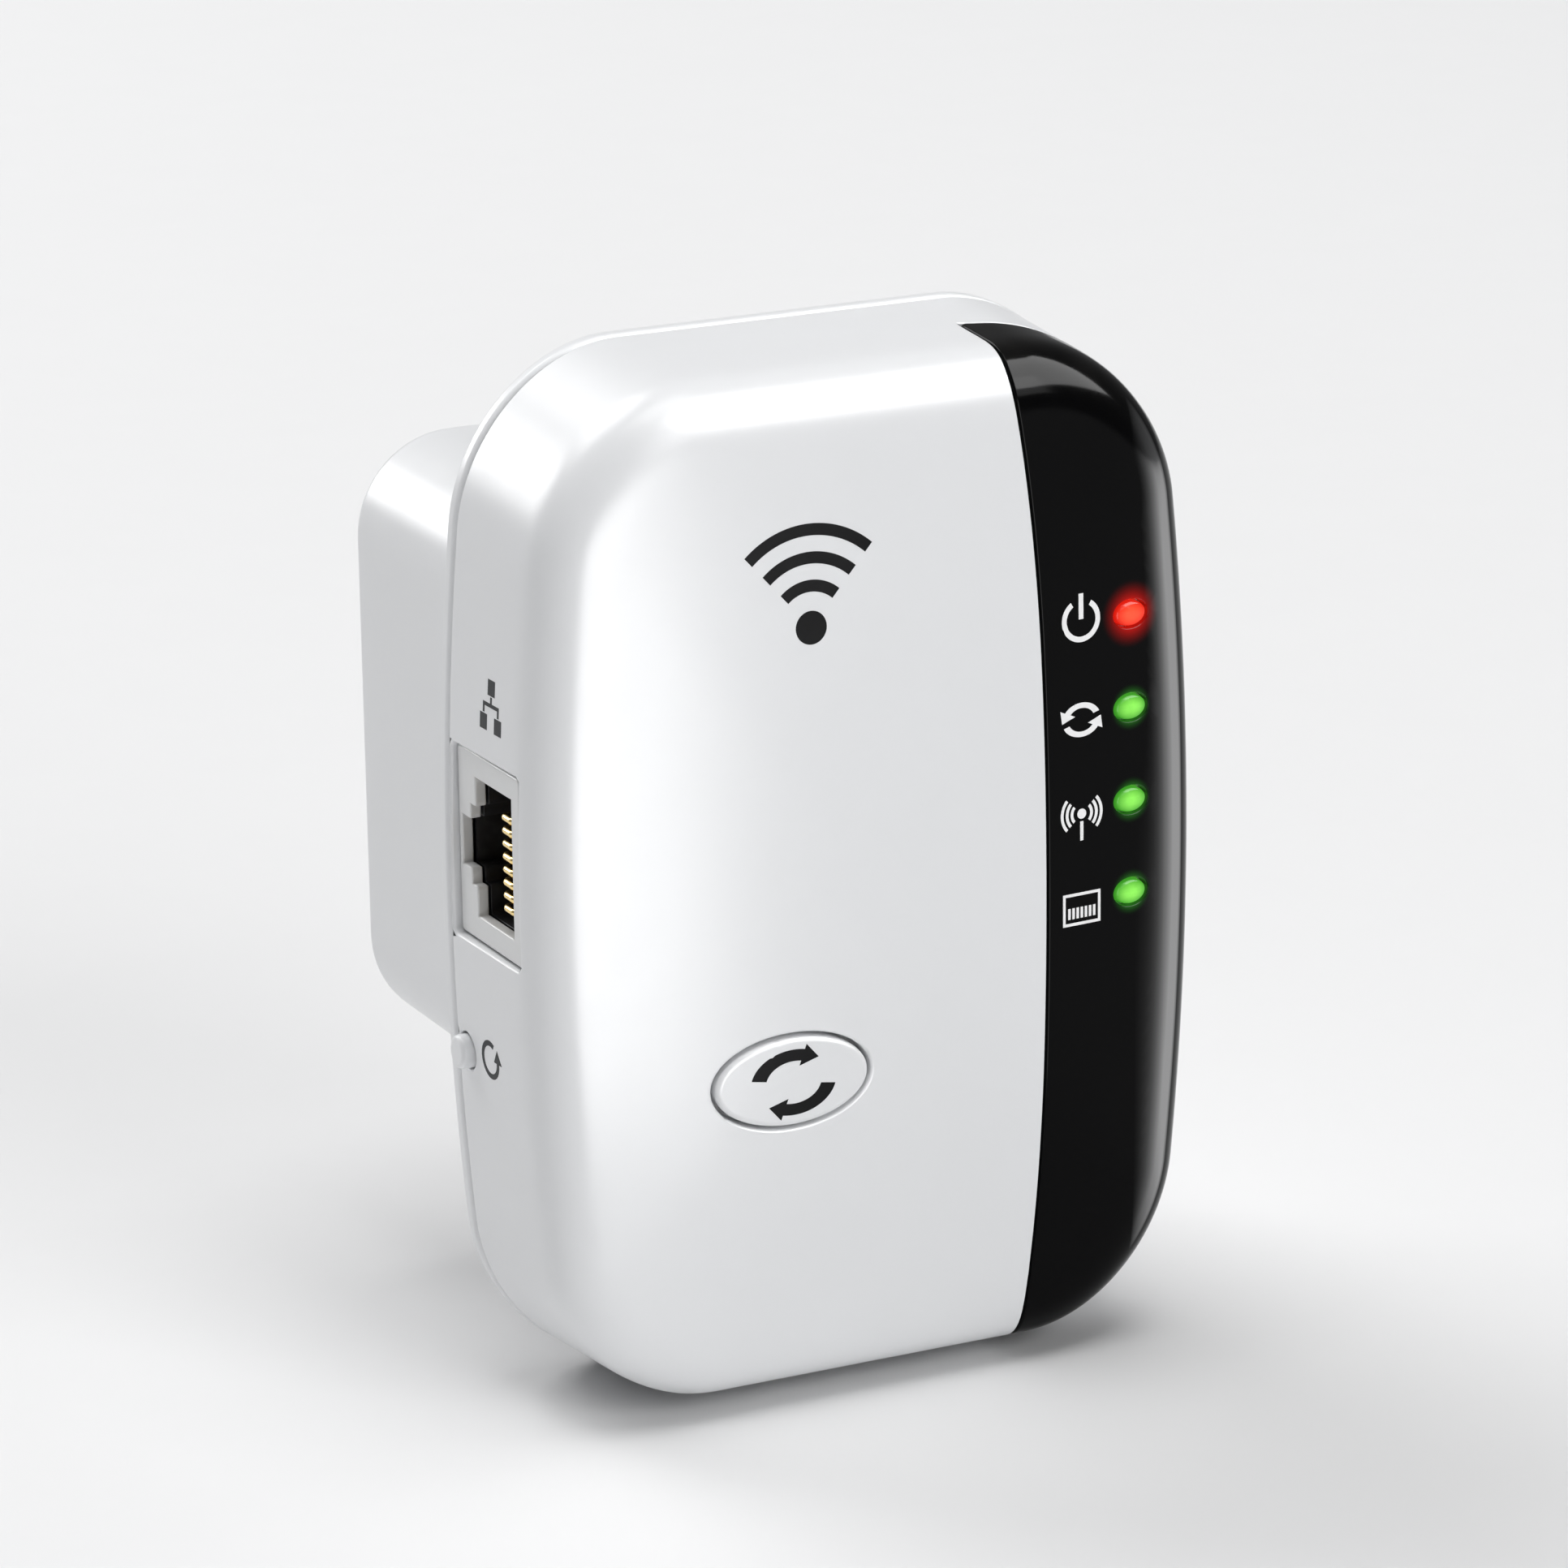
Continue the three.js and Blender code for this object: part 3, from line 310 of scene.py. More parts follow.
# Constrained triangles between the points, with each loop's edges kept; those outside are dropped.
def trianglesIn(flat, counts, loops):
    edges, start = [], 0
    for count in counts:
        index = np.arange(start, start + count)
        edges.append(np.stack([index, np.roll(index, -1)], -1))
        start += count
    made = delaunay_2d_cdt(
        [Vector(p) for p in flat.tolist()], np.concatenate(edges).tolist(), [], 0, 1e-7, True,
    )
    origin = np.array([ids[0] if ids else -1 for ids in made[3]])
    triangles = origin[np.array(made[2])]
    triangles = triangles[(triangles >= 0).all(1)]
    triangles = triangles[inside(flat[triangles].mean(1), loops)]
    a, b, c = (flat[triangles[:, k]] for k in range(3))
    turned = np.cross(b - a, c - a) < 0
    triangles[turned] = triangles[turned][:, ::-1]
    return triangles


# Outline moved to its left by a distance, which grows at corners as a mitre does.
def drawnIn(loop, distance):
    ahead = unit(np.roll(loop, -1, 0) - loop)
    behind = unit(loop - np.roll(loop, 1, 0))
    both = unit(ahead + behind)
    left = np.stack([-both[:, 1], both[:, 0]], -1)
    mitre = np.maximum((both * ahead).sum(1, keepdims=True), 0.5)  # sharp corners don't run far
    return loop + left * distance / mitre


# Wall over a chart: skin inside the outlines, its copy set back by the wall, and between them
# a rounded rim (quarter turn out by lip, straight down to the outline's depth, quarter turn back).
def shell(chart, outer, holes=(), wall=1.0, lip=0.15, spacing=2.0, lipSteps=4, depths=None,
          lips=None, points=None):
    loops = [loop if signedArea(loop) > 0 else loop[::-1] for loop in outer]
    loops += [loop if signedArea(loop) < 0 else loop[::-1] for loop in holes]
    depths = depths or [wall] * len(loops)
    lips = lips or [lip] * len(loops)
    loops = [drawnIn(loop, edge) for loop, edge in zip(loops, lips)]
    interior = lattice(loops, spacing) if points is None else points
    interior = interior[inside(interior, loops)]
    margin = 0.55 * min(spacing, 1.2)  # keeps slivers away from the outlines
    interior = interior[clearance(interior, loops) > margin]
    flat = np.concatenate(loops + [interior])
    triangles = trianglesIn(flat, [len(loop) for loop in loops], loops)
    place, normal = chart(flat)
    count = len(flat)
    verts = [place, place - wall * normal]
    normals = [normal, -normal]
    faces = [triangles, triangles[:, ::-1] + count]
    total, start = 2 * count, 0
    for loop, depth, edge in zip(loops, depths, lips):
        size = len(loop)
        ring = np.arange(start, start + size)
        start += size
        p, n = place[ring], normal[ring]
        along = unit(unit(np.roll(p, -1, 0) - p) + unit(p - np.roll(p, 1, 0)))
        out = unit(np.cross(along, n))
        turnOut = np.linspace(0, math.pi / 2, lipSteps + 1)
        turnBack = np.linspace(math.pi / 2, math.pi, lipSteps + 2)
        turn = np.concatenate([turnOut, turnBack])
        reach = edge * np.sin(turn)
        down = edge * (1 - np.cos(turn))
        down[lipSteps + 1:] += depth - 2 * edge
        rows = len(turn) - 1
        verts.append((p + reach[1:, None, None] * out - down[1:, None, None] * n).reshape(-1, 3))
        normals.append(unit(np.cos(turn[1:, None, None]) * n
                            + np.sin(turn[1:, None, None]) * out).reshape(-1, 3))
        index = np.concatenate([ring, total + np.arange(rows * size), ring + count])
        index = index.reshape(rows + 2, size)
        total += rows * size
        a, b = index[:-1], index[1:]
        c, d = np.roll(index, -1, 1)[1:], np.roll(index, -1, 1)[:-1]
        faces.append(np.stack([a, b, c], -1).reshape(-1, 3))
        faces.append(np.stack([a, c, d], -1).reshape(-1, 3))
    return np.concatenate(verts), np.concatenate(faces), np.concatenate(normals)


# Grid surface closed round its first parameter, with a centre point at each end.
def closedTube(rings):
    rows, size = rings.shape[:2]
    index = np.arange(rows * size).reshape(rows, size)
    a, b = index[:-1], index[1:]
    c, d = np.roll(index, -1, 1)[1:], np.roll(index, -1, 1)[:-1]
    first = np.stack([np.full(size, rows * size), np.roll(index[0], -1), index[0]], -1)
    last = np.stack([np.full(size, rows * size + 1), index[-1], np.roll(index[-1], -1)], -1)
    faces = [np.stack([a, d, c], -1).reshape(-1, 3), np.stack([a, c, b], -1).reshape(-1, 3),
             first[:, ::-1], last[:, ::-1]]
    ends = [rings[:1].mean(1), rings[-1:].mean(1)]
    return np.concatenate([rings.reshape(-1, 3)] + ends), np.concatenate(faces), None


# Round wire along a path; the radius closes to a half ball at each end.
def wire(path, radius, sides=12):
    path = evenly(np.array(path, float), radius / 2.5, closed=False)
    length = np.linalg.norm(np.diff(path, axis=0), axis=1).sum()
    at = np.linspace(0, length, len(path))
    fromEnd = np.clip(np.minimum(at, length - at) / radius, 0.02, 1)
    swell = radius * np.sqrt(1 - (1 - fromEnd) ** 2)
    along = unit(np.gradient(path, axis=0))
    side = unit(np.cross(along, (0.0, 0.0, 1.0)))
    up = np.cross(side, along)
    angle = np.arange(sides) * tau / sides
    circle = np.cos(angle)[:, None] * side[:, None] + np.sin(angle)[:, None] * up[:, None]
    return closedTube(path[:, None] + swell[:, None, None] * circle)


# Several shapes as one; normals are kept only where all of them have some.
def joined(*parts):
    verts, faces, normals, total = [], [], [], 0
    for v, f, n in parts:
        verts.append(v)
        faces.append(f + total)
        normals.append(n)
        total += len(v)
    plain = any(n is None for n in normals)
    return np.concatenate(verts), np.concatenate(faces), None if plain else np.concatenate(normals)


# Smooth mesh from millimetres, riding on a body and standing in for its CAD nodes.
def piece(name, shape, material, rides, replaces=()):
    verts, faces, normals = shape
    mesh = bpy.data.meshes.new(name)
    mesh.from_pydata((verts * mm).tolist(), [], faces.tolist())
    mesh.shade_smooth()
    mesh.materials.append(material)
    if normals is not None:
        mesh.normals_split_custom_set_from_vertices(normals.tolist())
    obj = bpy.data.objects.new(name, mesh)
    bpy.context.scene.collection.objects.link(obj)
    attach(obj, rides)
    if replaces:
        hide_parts(*replaces)
    return obj


# Empty shader group with number inputs and outputs.
def newGroup(name, inputs, outputs):
    tree = bpy.data.node_groups.new(name, "ShaderNodeTree")
    for label, value in inputs.items():
        socket = tree.interface.new_socket(
            name=label, in_out="INPUT", socket_type="NodeSocketFloat")
        socket.default_value = value
    for label in outputs:
        tree.interface.new_socket(name=label, in_out="OUTPUT", socket_type="NodeSocketFloat")
    return tree, tree.nodes.new("NodeGroupInput"), tree.nodes.new("NodeGroupOutput")


# Socket with the result of a maths node; each value is a number or a socket.
def mathNode(tree, operation, first, second):
    made = tree.nodes.new("ShaderNodeMath")
    made.operation = operation
    for socket, value in zip(made.inputs, (first, second)):
        if isinstance(value, (int, float)):
            socket.default_value = value
        else:
            tree.links.new(value, socket)
    return made.outputs[0]


# Several values multiplied together.
def product(tree, first, *others):
    for other in others:
        first = mathNode(tree, "MULTIPLY", first, other)
    return first


# Value moved from one range to another; the ends of the new range may be sockets.
def spread(tree, value, low, high, newLow, newHigh):
    made = tree.nodes.new("ShaderNodeMapRange")
    made.inputs["From Min"].default_value = low
    made.inputs["From Max"].default_value = high
    tree.links.new(value, made.inputs["Value"])
    for label, end in (("To Min", newLow), ("To Max", newHigh)):
        if isinstance(end, (int, float)):
            made.inputs[label].default_value = end
        else:
            tree.links.new(end, made.inputs[label])
    return made.outputs["Result"]


# Noise on Object coordinates, drawn out by stretch where that is given.
def noise(tree, scale, detail, stretch=None):
    place = tree.nodes.new("ShaderNodeTexCoord").outputs["Object"]
    if stretch:
        mapping = tree.nodes.new("ShaderNodeMapping")
        mapping.inputs["Scale"].default_value = stretch
        tree.links.new(place, mapping.inputs["Vector"])
        place = mapping.outputs["Vector"]
    made = tree.nodes.new("ShaderNodeTexNoise")
    made.inputs["Detail"].default_value = detail
    tree.links.new(place, made.inputs["Vector"])
    if isinstance(scale, (int, float)):
        made.inputs["Scale"].default_value = scale
    else:
        tree.links.new(scale, made.inputs["Scale"])
    return made.outputs["Fac"]


mould = {"grainDetail": 3.0, "shadeNoise": (90.0, 2.0), "roughNoise": (420.0, 3.0)}
noiseRange = (0.3, 0.7)  # where nearly all noise values lie


# Moulded surface: fine grain for the bump, soft changes of shade and roughness.
def mouldedGroup():
    tree, given, result = newGroup(
        "mouldedSurface",
        {"Grain": 2200.0, "Rough Low": 0.2, "Rough High": 0.3, "Shade Low": 0.97},
        ["Shade", "Roughness", "Height"],
    )
    fine = noise(tree, given.outputs["Grain"], mould["grainDetail"])
    soft = noise(tree, *mould["shadeNoise"])
    middle = noise(tree, *mould["roughNoise"])
    shade = spread(tree, soft, *noiseRange, given.outputs["Shade Low"], 1.0)
    rough = spread(tree, middle, *noiseRange, given.outputs["Rough Low"], given.outputs["Rough High"])
    tree.links.new(shade, result.inputs["Shade"])
    tree.links.new(rough, result.inputs["Roughness"])
    tree.links.new(fine, result.inputs["Height"])
    return tree


edgeWear = {"pointiness": (0.53, 0.62), "noise": (700.0, 4.0), "broken": (0.42, 0.62)}


# Edge wear: convex edges by pointiness, broken up by noise.
def wearGroup():
    tree, given, result = newGroup("edgeWear", {"Amount": 0.5}, ["Mask"])
    point = tree.nodes.new("ShaderNodeNewGeometry").outputs["Pointiness"]
    edge = spread(tree, point, *edgeWear["pointiness"], 0.0, 1.0)
    broken = spread(tree, noise(tree, *edgeWear["noise"]), *edgeWear["broken"], 0.0, 1.0)
    tree.links.new(product(tree, edge, broken, given.outputs["Amount"]), result.inputs["Mask"])
    return tree


dustFilm = {"upward": (0.2, 1.0), "noise": (260.0, 5.0), "patch": (0.35, 0.7), "least": 0.2,
            "color": (0.55, 0.52, 0.47, 1)}


# Dust: faces that look up, in soft patches.
def dustGroup():
    tree, given, result = newGroup("dustFilm", {"Amount": 0.1}, ["Mask"])
    normal = tree.nodes.new("ShaderNodeNewGeometry").outputs["Normal"]
    apart = tree.nodes.new("ShaderNodeSeparateXYZ")
    tree.links.new(normal, apart.inputs[0])
    up = spread(tree, apart.outputs["Z"], *dustFilm["upward"], 0.0, 1.0)
    patch = spread(tree, noise(tree, *dustFilm["noise"]), *dustFilm["patch"], dustFilm["least"], 1.0)
    tree.links.new(product(tree, up, patch, given.outputs["Amount"]), result.inputs["Mask"])
    return tree


brush = {"noise": (1400.0, 3.0, (1.0, 0.06, 1.0)), "shadeRange": (0.25, 0.75), "shade": (0.88, 1.0)}


# Brushed metal: noise drawn out along one axis.
def brushedGroup():
    tree, given, result = newGroup(
        "brushedMetal", {"Rough Low": 0.2, "Rough High": 0.35}, ["Shade", "Roughness", "Height"])
    lines = noise(tree, *brush["noise"])
    rough = spread(tree, lines, *noiseRange, given.outputs["Rough Low"], given.outputs["Rough High"])
    shade = spread(tree, lines, *brush["shadeRange"], *brush["shade"])
    tree.links.new(shade, result.inputs["Shade"])
    tree.links.new(rough, result.inputs["Roughness"])
    tree.links.new(lines, result.inputs["Height"])
    return tree


moulded, wear, dust, brushed = mouldedGroup(), wearGroup(), dustGroup(), brushedGroup()


# A shader group put into a material, with its own values.
def placed(tree, inner, values):
    node = tree.nodes.new("ShaderNodeGroup")
    node.node_tree = inner
    for label, value in values.items():
        node.inputs[label].default_value = value
    return node


# Colour between first and second, by share.
def mixed(tree, share, first, second):
    node = tree.nodes.new("ShaderNodeMix")
    node.data_type = "RGBA"
    for socket, value in ((node.inputs[0], share), (node.inputs[6], first), (node.inputs[7], second)):
        if isinstance(value, (int, float, tuple)):
            socket.default_value = value
        else:
            tree.links.new(value, socket)
    return node.outputs[2]


# New material, with its node tree and its shader.
def newMaterial(name):
    material = bpy.data.materials.new(name)
    material.use_nodes = True
    return material, material.node_tree, material.node_tree.nodes["Principled BSDF"]


bumpDepth = 0.0002  # in metres, for all finishes
darker = {"shade": 0.5, "worn": 0.8, "unlit": 0.4}  # shares of a finish's own colour


# Colour scaled by a share, with alpha 1.
def scaled(color, share=1.0):
    return tuple(part * share for part in color) + (1,)


# Height of a surface turned into its normal.
def addBump(tree, shader, height, strength):
    bump = tree.nodes.new("ShaderNodeBump")
    bump.inputs["Strength"].default_value = strength
    bump.inputs["Distance"].default_value = bumpDepth
    tree.links.new(height, bump.inputs["Height"])
    tree.links.new(bump.outputs["Normal"], shader.inputs["Normal"])


# Plastic or metal finish: shade times colour, then worn edges, then dust.
def finish(name, color, rough=(0.29, 0.36), metal=0.0, grain=2200.0, bump=0.02, shade=0.97,
           worn=0.0, wornColor=None, dusty=0.0, specular=0.5):
    material, tree, shader = newMaterial(name)
    values = {"Rough Low": rough[0], "Rough High": rough[1]}
    if metal:
        surface = placed(tree, brushed, values)
    else:
        surface = placed(tree, moulded, values | {"Grain": grain, "Shade Low": shade})
    base = mixed(tree, surface.outputs["Shade"], scaled(color, darker["shade"]), scaled(color))
    if worn:
        mask = placed(tree, wear, {"Amount": worn}).outputs["Mask"]
        bare = scaled(wornColor) if wornColor else scaled(color, darker["worn"])
        base = mixed(tree, mask, base, bare)
    if dusty:
        mask = placed(tree, dust, {"Amount": dusty}).outputs["Mask"]
        base = mixed(tree, mask, base, dustFilm["color"])
    tree.links.new(base, shader.inputs["Base Color"])
    tree.links.new(surface.outputs["Roughness"], shader.inputs["Roughness"])
    addBump(tree, shader, surface.outputs["Height"], bump)
    shader.inputs["Metallic"].default_value = metal
    shader.inputs["Specular IOR Level"].default_value = specular
    return material


lit = {"noise": (900.0, 3.0), "cloud": (0.82, 1.0), "power": 1.2, "rough": (0.08, 0.14),
       "specular": 0.12}


# Lit light pipe: colour and brightness follow the glow attribute, from the rim to the middle.
def lensFinish(name, deep, bright, strength):
    material, tree, shader = newMaterial(name)
    glow = tree.nodes.new("ShaderNodeAttribute")
    glow.attribute_name = "glow"
    cloud = spread(tree, noise(tree, *lit["noise"]), *noiseRange, *lit["cloud"])
    share = product(tree, mathNode(tree, "POWER", glow.outputs["Fac"], lit["power"]), cloud)
    tree.links.new(mixed(tree, share, scaled(deep), scaled(bright)), shader.inputs["Emission Color"])
    shader.inputs["Base Color"].default_value = scaled(deep, darker["unlit"])
    surface = placed(tree, moulded, dict(zip(("Rough Low", "Rough High"), lit["rough"])))
    tree.links.new(surface.outputs["Roughness"], shader.inputs["Roughness"])
    shader.inputs["Emission Strength"].default_value = strength
    shader.inputs["Specular IOR Level"].default_value = lit["specular"]
    return material


# Finishes of the outside.
shellWhite = finish(
    "shellWhite", (0.83, 0.838, 0.85), rough=(0.285, 0.325), grain=2600.0, bump=0.012, shade=0.985,
    worn=0.12, wornColor=(0.7, 0.69, 0.67), dusty=0.03)
jackGrey = finish(
    "jackGrey", (0.76, 0.765, 0.765), rough=(0.28, 0.4), grain=1800.0, bump=0.05, worn=0.3,
    dusty=0.03)
jackDark = finish(
    "jackDark", (0.012, 0.012, 0.013), rough=(0.35, 0.5), grain=1500.0, bump=0.08, worn=0.3,
    wornColor=(0.05, 0.05, 0.052))
contactGold = finish(
    "contactGold", (0.95, 0.72, 0.32), rough=(0.16, 0.26), metal=1.0, bump=0.05)
bladeNickel = finish(
    "bladeNickel", (0.74, 0.72, 0.67), rough=(0.28, 0.38), metal=1.0, bump=0.08, worn=0.5,
    wornColor=(0.8, 0.68, 0.42))
screwZinc = finish(
    "screwZinc", (0.6, 0.61, 0.63), rough=(0.28, 0.4), metal=1.0, bump=0.1, worn=0.3,
    wornColor=(0.8, 0.8, 0.8))
inkBlack = finish(
    "inkBlack", (0.004, 0.004, 0.0045), rough=(0.4, 0.5), grain=5000.0, bump=0.05, specular=0.08)
inkGrey = finish(
    "inkGrey", (0.055, 0.057, 0.06), rough=(0.4, 0.5), grain=5000.0, bump=0.05, specular=0.1)
inkWhite = finish(
    "inkWhite", (0.98, 0.98, 0.98), rough=(0.3, 0.42), grain=5000.0, bump=0.05, specular=0.2)
labelPaper = finish(
    "labelPaper", (0.7, 0.71, 0.72), rough=(0.5, 0.65), grain=4200.0, bump=0.15, shade=0.94,
    dusty=0.05)
lensRed = lensFinish("lensRed", (0.5, 0.002, 0.001), (1.0, 0.11, 0.05), 1.15)
lensGreen = lensFinish("lensGreen", (0.02, 0.22, 0.01), (0.3, 0.88, 0.12), 1.05)

# Finishes of the inside, for the CAD nodes that stay: colour, roughness, metal, grain, bump.
innerFinishes = {
    "board_green": ((0.03, 0.19, 0.075), (0.25, 0.4), 0.0, 900.0, 0.2),
    "chip_black": ((0.02, 0.02, 0.022), (0.4, 0.6), 0.0, 3000.0, 0.25),
    "led_white": ((0.8, 0.77, 0.6), (0.25, 0.4), 0.0, 2500.0, 0.05),
    "shield_tin": ((0.66, 0.67, 0.68), (0.2, 0.36), 1.0, 1200.0, 0.08),
    "antenna_brass": ((0.8, 0.62, 0.3), (0.2, 0.38), 1.0, 1200.0, 0.08),
    "ferrite_grey": ((0.05, 0.05, 0.055), (0.55, 0.75), 0.0, 2600.0, 0.4),
    "winding_tape": ((0.78, 0.6, 0.06), (0.3, 0.45), 0.0, 700.0, 0.2),
    "cap_sleeve": ((0.02, 0.04, 0.14), (0.25, 0.4), 0.0, 1500.0, 0.08),
    "resistor_body": ((0.24, 0.42, 0.36), (0.3, 0.5), 0.0, 1700.0, 0.3),
    "lead_red": ((0.4, 0.02, 0.015), (0.35, 0.5), 0.0, 1300.0, 0.1),
    "plunger_grey": ((0.45, 0.46, 0.47), (0.35, 0.5), 0.0, 2000.0, 0.1),
    "screw_steel": ((0.6, 0.61, 0.63), (0.25, 0.4), 1.0, 1200.0, 0.1),
}
innerMaterials = {
    slot: finish(slot + "_look", color, rough=rough, metal=metal, grain=grain, bump=bump,
                 shade=0.9, worn=0.3)
    for slot, (color, rough, metal, grain, bump) in innerFinishes.items()
}
print("finishes made")


# The panel's seam falls back as a square and a fourth power of height; its rear edge slants.
panel = {
    "thickness": 1.0,
    "gap": 0.2,
    "seamX": 15.1,
    "seamCentre": -2.0,
    "square": 1.75,
    "fourth": 1.1,
    "lean": 0.19,
    "rearY": -39.1,
    "slant": 0.3,
    "lip": 0.16,
    "turns": (2.7, 4.7, 6001),  # quarters of the ring that are searched, and steps
    "spacing": 0.7,
}


# Crossings of the skin columns with the seam and with the rear edge, both moved out by grow.
def panelOutline(grow):
    turn = np.linspace(*panel["turns"])
    column = turn * skinTurns / 4
    first = np.floor(column).astype(int)
    share = (column - first)[None, :, None]
    points = (skinPoints[:, first % skinTurns] * (1 - share)
              + skinPoints[:, (first + 1) % skinTurns] * share)
    x, y, z = points[..., 0], points[..., 1], points[..., 2]
    up = (z - centreZ - panel["seamCentre"]) / body["halfHeight"]
    seam = (panel["seamX"] - panel["square"] * up**2 - panel["fourth"] * up**4
            + panel["lean"] * (y - body["crease"] + body["fillet"]) - grow)
    rear = panel["rearY"] + grow - panel["slant"] * (x - panel["seamX"])

    def crossing(value):
        last = skinRows - 1 - np.argmax(value[::-1] > 0, 0)
        column = np.arange(value.shape[1])
        here, ahead = value[last.clip(0), column], value[(last + 1).clip(0, skinRows - 1), column]
        found = last + here / np.where(here == ahead, 1, here - ahead)
        return np.where((value > 0).any(0), found, -1)

    seamRow = crossing(x - seam)
    rearRow = crossing(y - rear)
    kept = np.flatnonzero(rearRow < seamRow)
    kept = np.arange(kept[0], kept[-1] + 1)
    rearEdge = readGrid(skinFlat, rearRow[kept], turn[kept])
    seamEdge = readGrid(skinFlat, seamRow[kept], turn[kept])[::-1]
    tips = [(rearEdge[:1] + seamEdge[-1:]) / 2, (rearEdge[-1:] + seamEdge[:1]) / 2]
    rearEdge = evenly(np.concatenate([tips[0], rearEdge, tips[1]]), panel["spacing"], False)
    seamEdge = evenly(np.concatenate([tips[1], seamEdge, tips[0]]), panel["spacing"], False)
    return np.concatenate([rearEdge[:-1], seamEdge[:-1]])


# Flat place of a point on the left side, from its depth and its height.
def onLeftSide(points):
    y, z = np.asarray(points, float).T
    column = int(skinTurns * 1.75 / 4)
    row = np.interp(-y, -skinPoints[:, column, 1], np.arange(skinRows))
    share = (np.maximum(y, body["crease"]) - body["crease"]) / (body["back"] - body["crease"])
    straight = body["halfHeight"] + body["growZ"] * share - body["cornerRadius"]
    along = (1 - (z - centreZ) / straight) / 2
    return readGrid(skinFlat, row, 1 + cornerShare + along * (1 - cornerShare))


cover = {
    "wall": 2.2,
    "floorInset": 1.3,  # how far the floor under the panel lies behind the skin
    "rearLip": 0.12,
    "buttonLip": 0.3,
    "windowLip": 0.25,
    "resetLip": 0.2,
    "windowGap": 0.2,
    "resetGap": 0.2,
}
button = {"width": 14.4, "height": 8.3, "gap": 0.35, "proud": 0.25, "edge": 0.5, "cap": 1.6,
          "skirt": 1.2, "flange": 0.95, "flangeWall": 0.45, "flangeGap": 0.25, "post": 2.0,
          "postGap": 0.05, "slack": 0.02}
reset = {"y": -32.6, "diameter": 2.9, "cap": 3.6, "edge": 0.42, "flangeAt": 3.4, "flangeWall": 0.8,
         "flangeSize": (2.6, 4.8), "flangeCorner": 0.4, "stem": 1.8, "overlap": 0.2}
lensSize = {"width": 3.0, "height": 2.1, "hole": 0.2, "holeLip": 0.12, "proud": 0.25, "bulge": 0.3,
            "wall": 2.6, "edge": 0.3, "glow": (1.05, 0.9)}
buttonX, buttonZ = middleOf("pairing_button")
resetLow, resetHigh = boxOf("reset_button")
resetZ = middleOf("reset_button")[1]
jackLow, jackHigh = boxOf("lan_jack_body")
lensPlaces = [middleOf(f"led_lens_{number}") for number in (1, 2, 3, 4)]
lensHoles = [
    oval(x, z, lensSize["width"] + 2 * lensSize["hole"], lensSize["height"] + 2 * lensSize["hole"], 48)
    for x, z in lensPlaces
]


# Outline of a box seen from the left, from depth and height, wider by a gap all round.
def sideBox(low, high, gap, radius, spacing):
    middle = (low + high) / 2
    size = high - low + 2 * gap
    return roundedBox(middle[1], middle[2], size[1], size[2], radius, spacing)


# Skin with its openings, and a thinner floor set back where the panel lies.
def coverShape():
    rearEdge = evenly(skinFlat[1], 0.8)
    region = panelOutline(panel["gap"] / 2)
    resetWidth = reset["diameter"] + 2 * cover["resetGap"]
    holes = [
        region,
        oval(buttonX, buttonZ, button["width"], button["height"], 96),
        onLeftSide(sideBox(jackLow, jackHigh, cover["windowGap"], 0.5, 0.6)),
        onLeftSide(oval(reset["y"], resetZ, resetWidth, resetWidth, 40)),
    ]
    lips = [cover["rearLip"], panel["lip"], cover["buttonLip"], cover["windowLip"], cover["resetLip"]]
    skin = shell(onSkin(), [rearEdge], holes, wall=cover["wall"], lips=lips,
                 points=skinLattice([rearEdge], 1.7))
    floor = shell(onSkin(-cover["floorInset"]), [region], lensHoles,
                  wall=cover["wall"] - cover["floorInset"], lip=0.05, lipSteps=1,
                  points=skinLattice([region], 2.2))
    return joined(skin, floor)


piece("frontCoverShell", coverShape(), shellWhite, "housing", ["front_cover"])
print("front cover done")


panelPlastic = {
    "moulded": {"Grain": 1500.0, "Rough Low": 0.1, "Rough High": 0.14, "Shade Low": 0.8},
    "colors": ((0.0006, 0.0006, 0.0006), (0.0016, 0.0016, 0.0018)),
    "dust": 0.012,
    "bump": 0.004,
}
# Soft gloss along the right edge: where it starts across, and where it turns away from view.
panelSheen = {"across": (0.0235, 0.0265), "facing": (0.215, 0.37), "fade": (0.51, 0.58),
              "level": (0.016, 1.0), "ior": 2.4}
# Painted glow: emission on the panel that stands in for light spilling from each pipe; near, far and
# faceY are in metres.
paintedPanelGlow = {"faceY": -0.0487, "near": 0.0011, "power": 2.2}
redGlow = {"far": 0.003, "tint": (0.55, 0.006, 0.003)}
greenGlow = {"far": 0.0021, "tint": (0.02, 0.16, 0.012)}


# Painted glow: emission colour that falls off with distance from one light pipe, to a power.
def paintedSpill(tree, place, x, z, glow):
    away = tree.nodes.new("ShaderNodeVectorMath")
    away.operation = "DISTANCE"
    tree.links.new(place, away.inputs[0])
    away.inputs[1].default_value = (x * mm, paintedPanelGlow["faceY"], z * mm)
    share = spread(tree, away.outputs["Value"], paintedPanelGlow["near"], glow["far"], 1.0, 0.0)
    share = mathNode(tree, "POWER", share, paintedPanelGlow["power"])
    return mixed(tree, share, (0, 0, 0, 1), scaled(glow["tint"]))
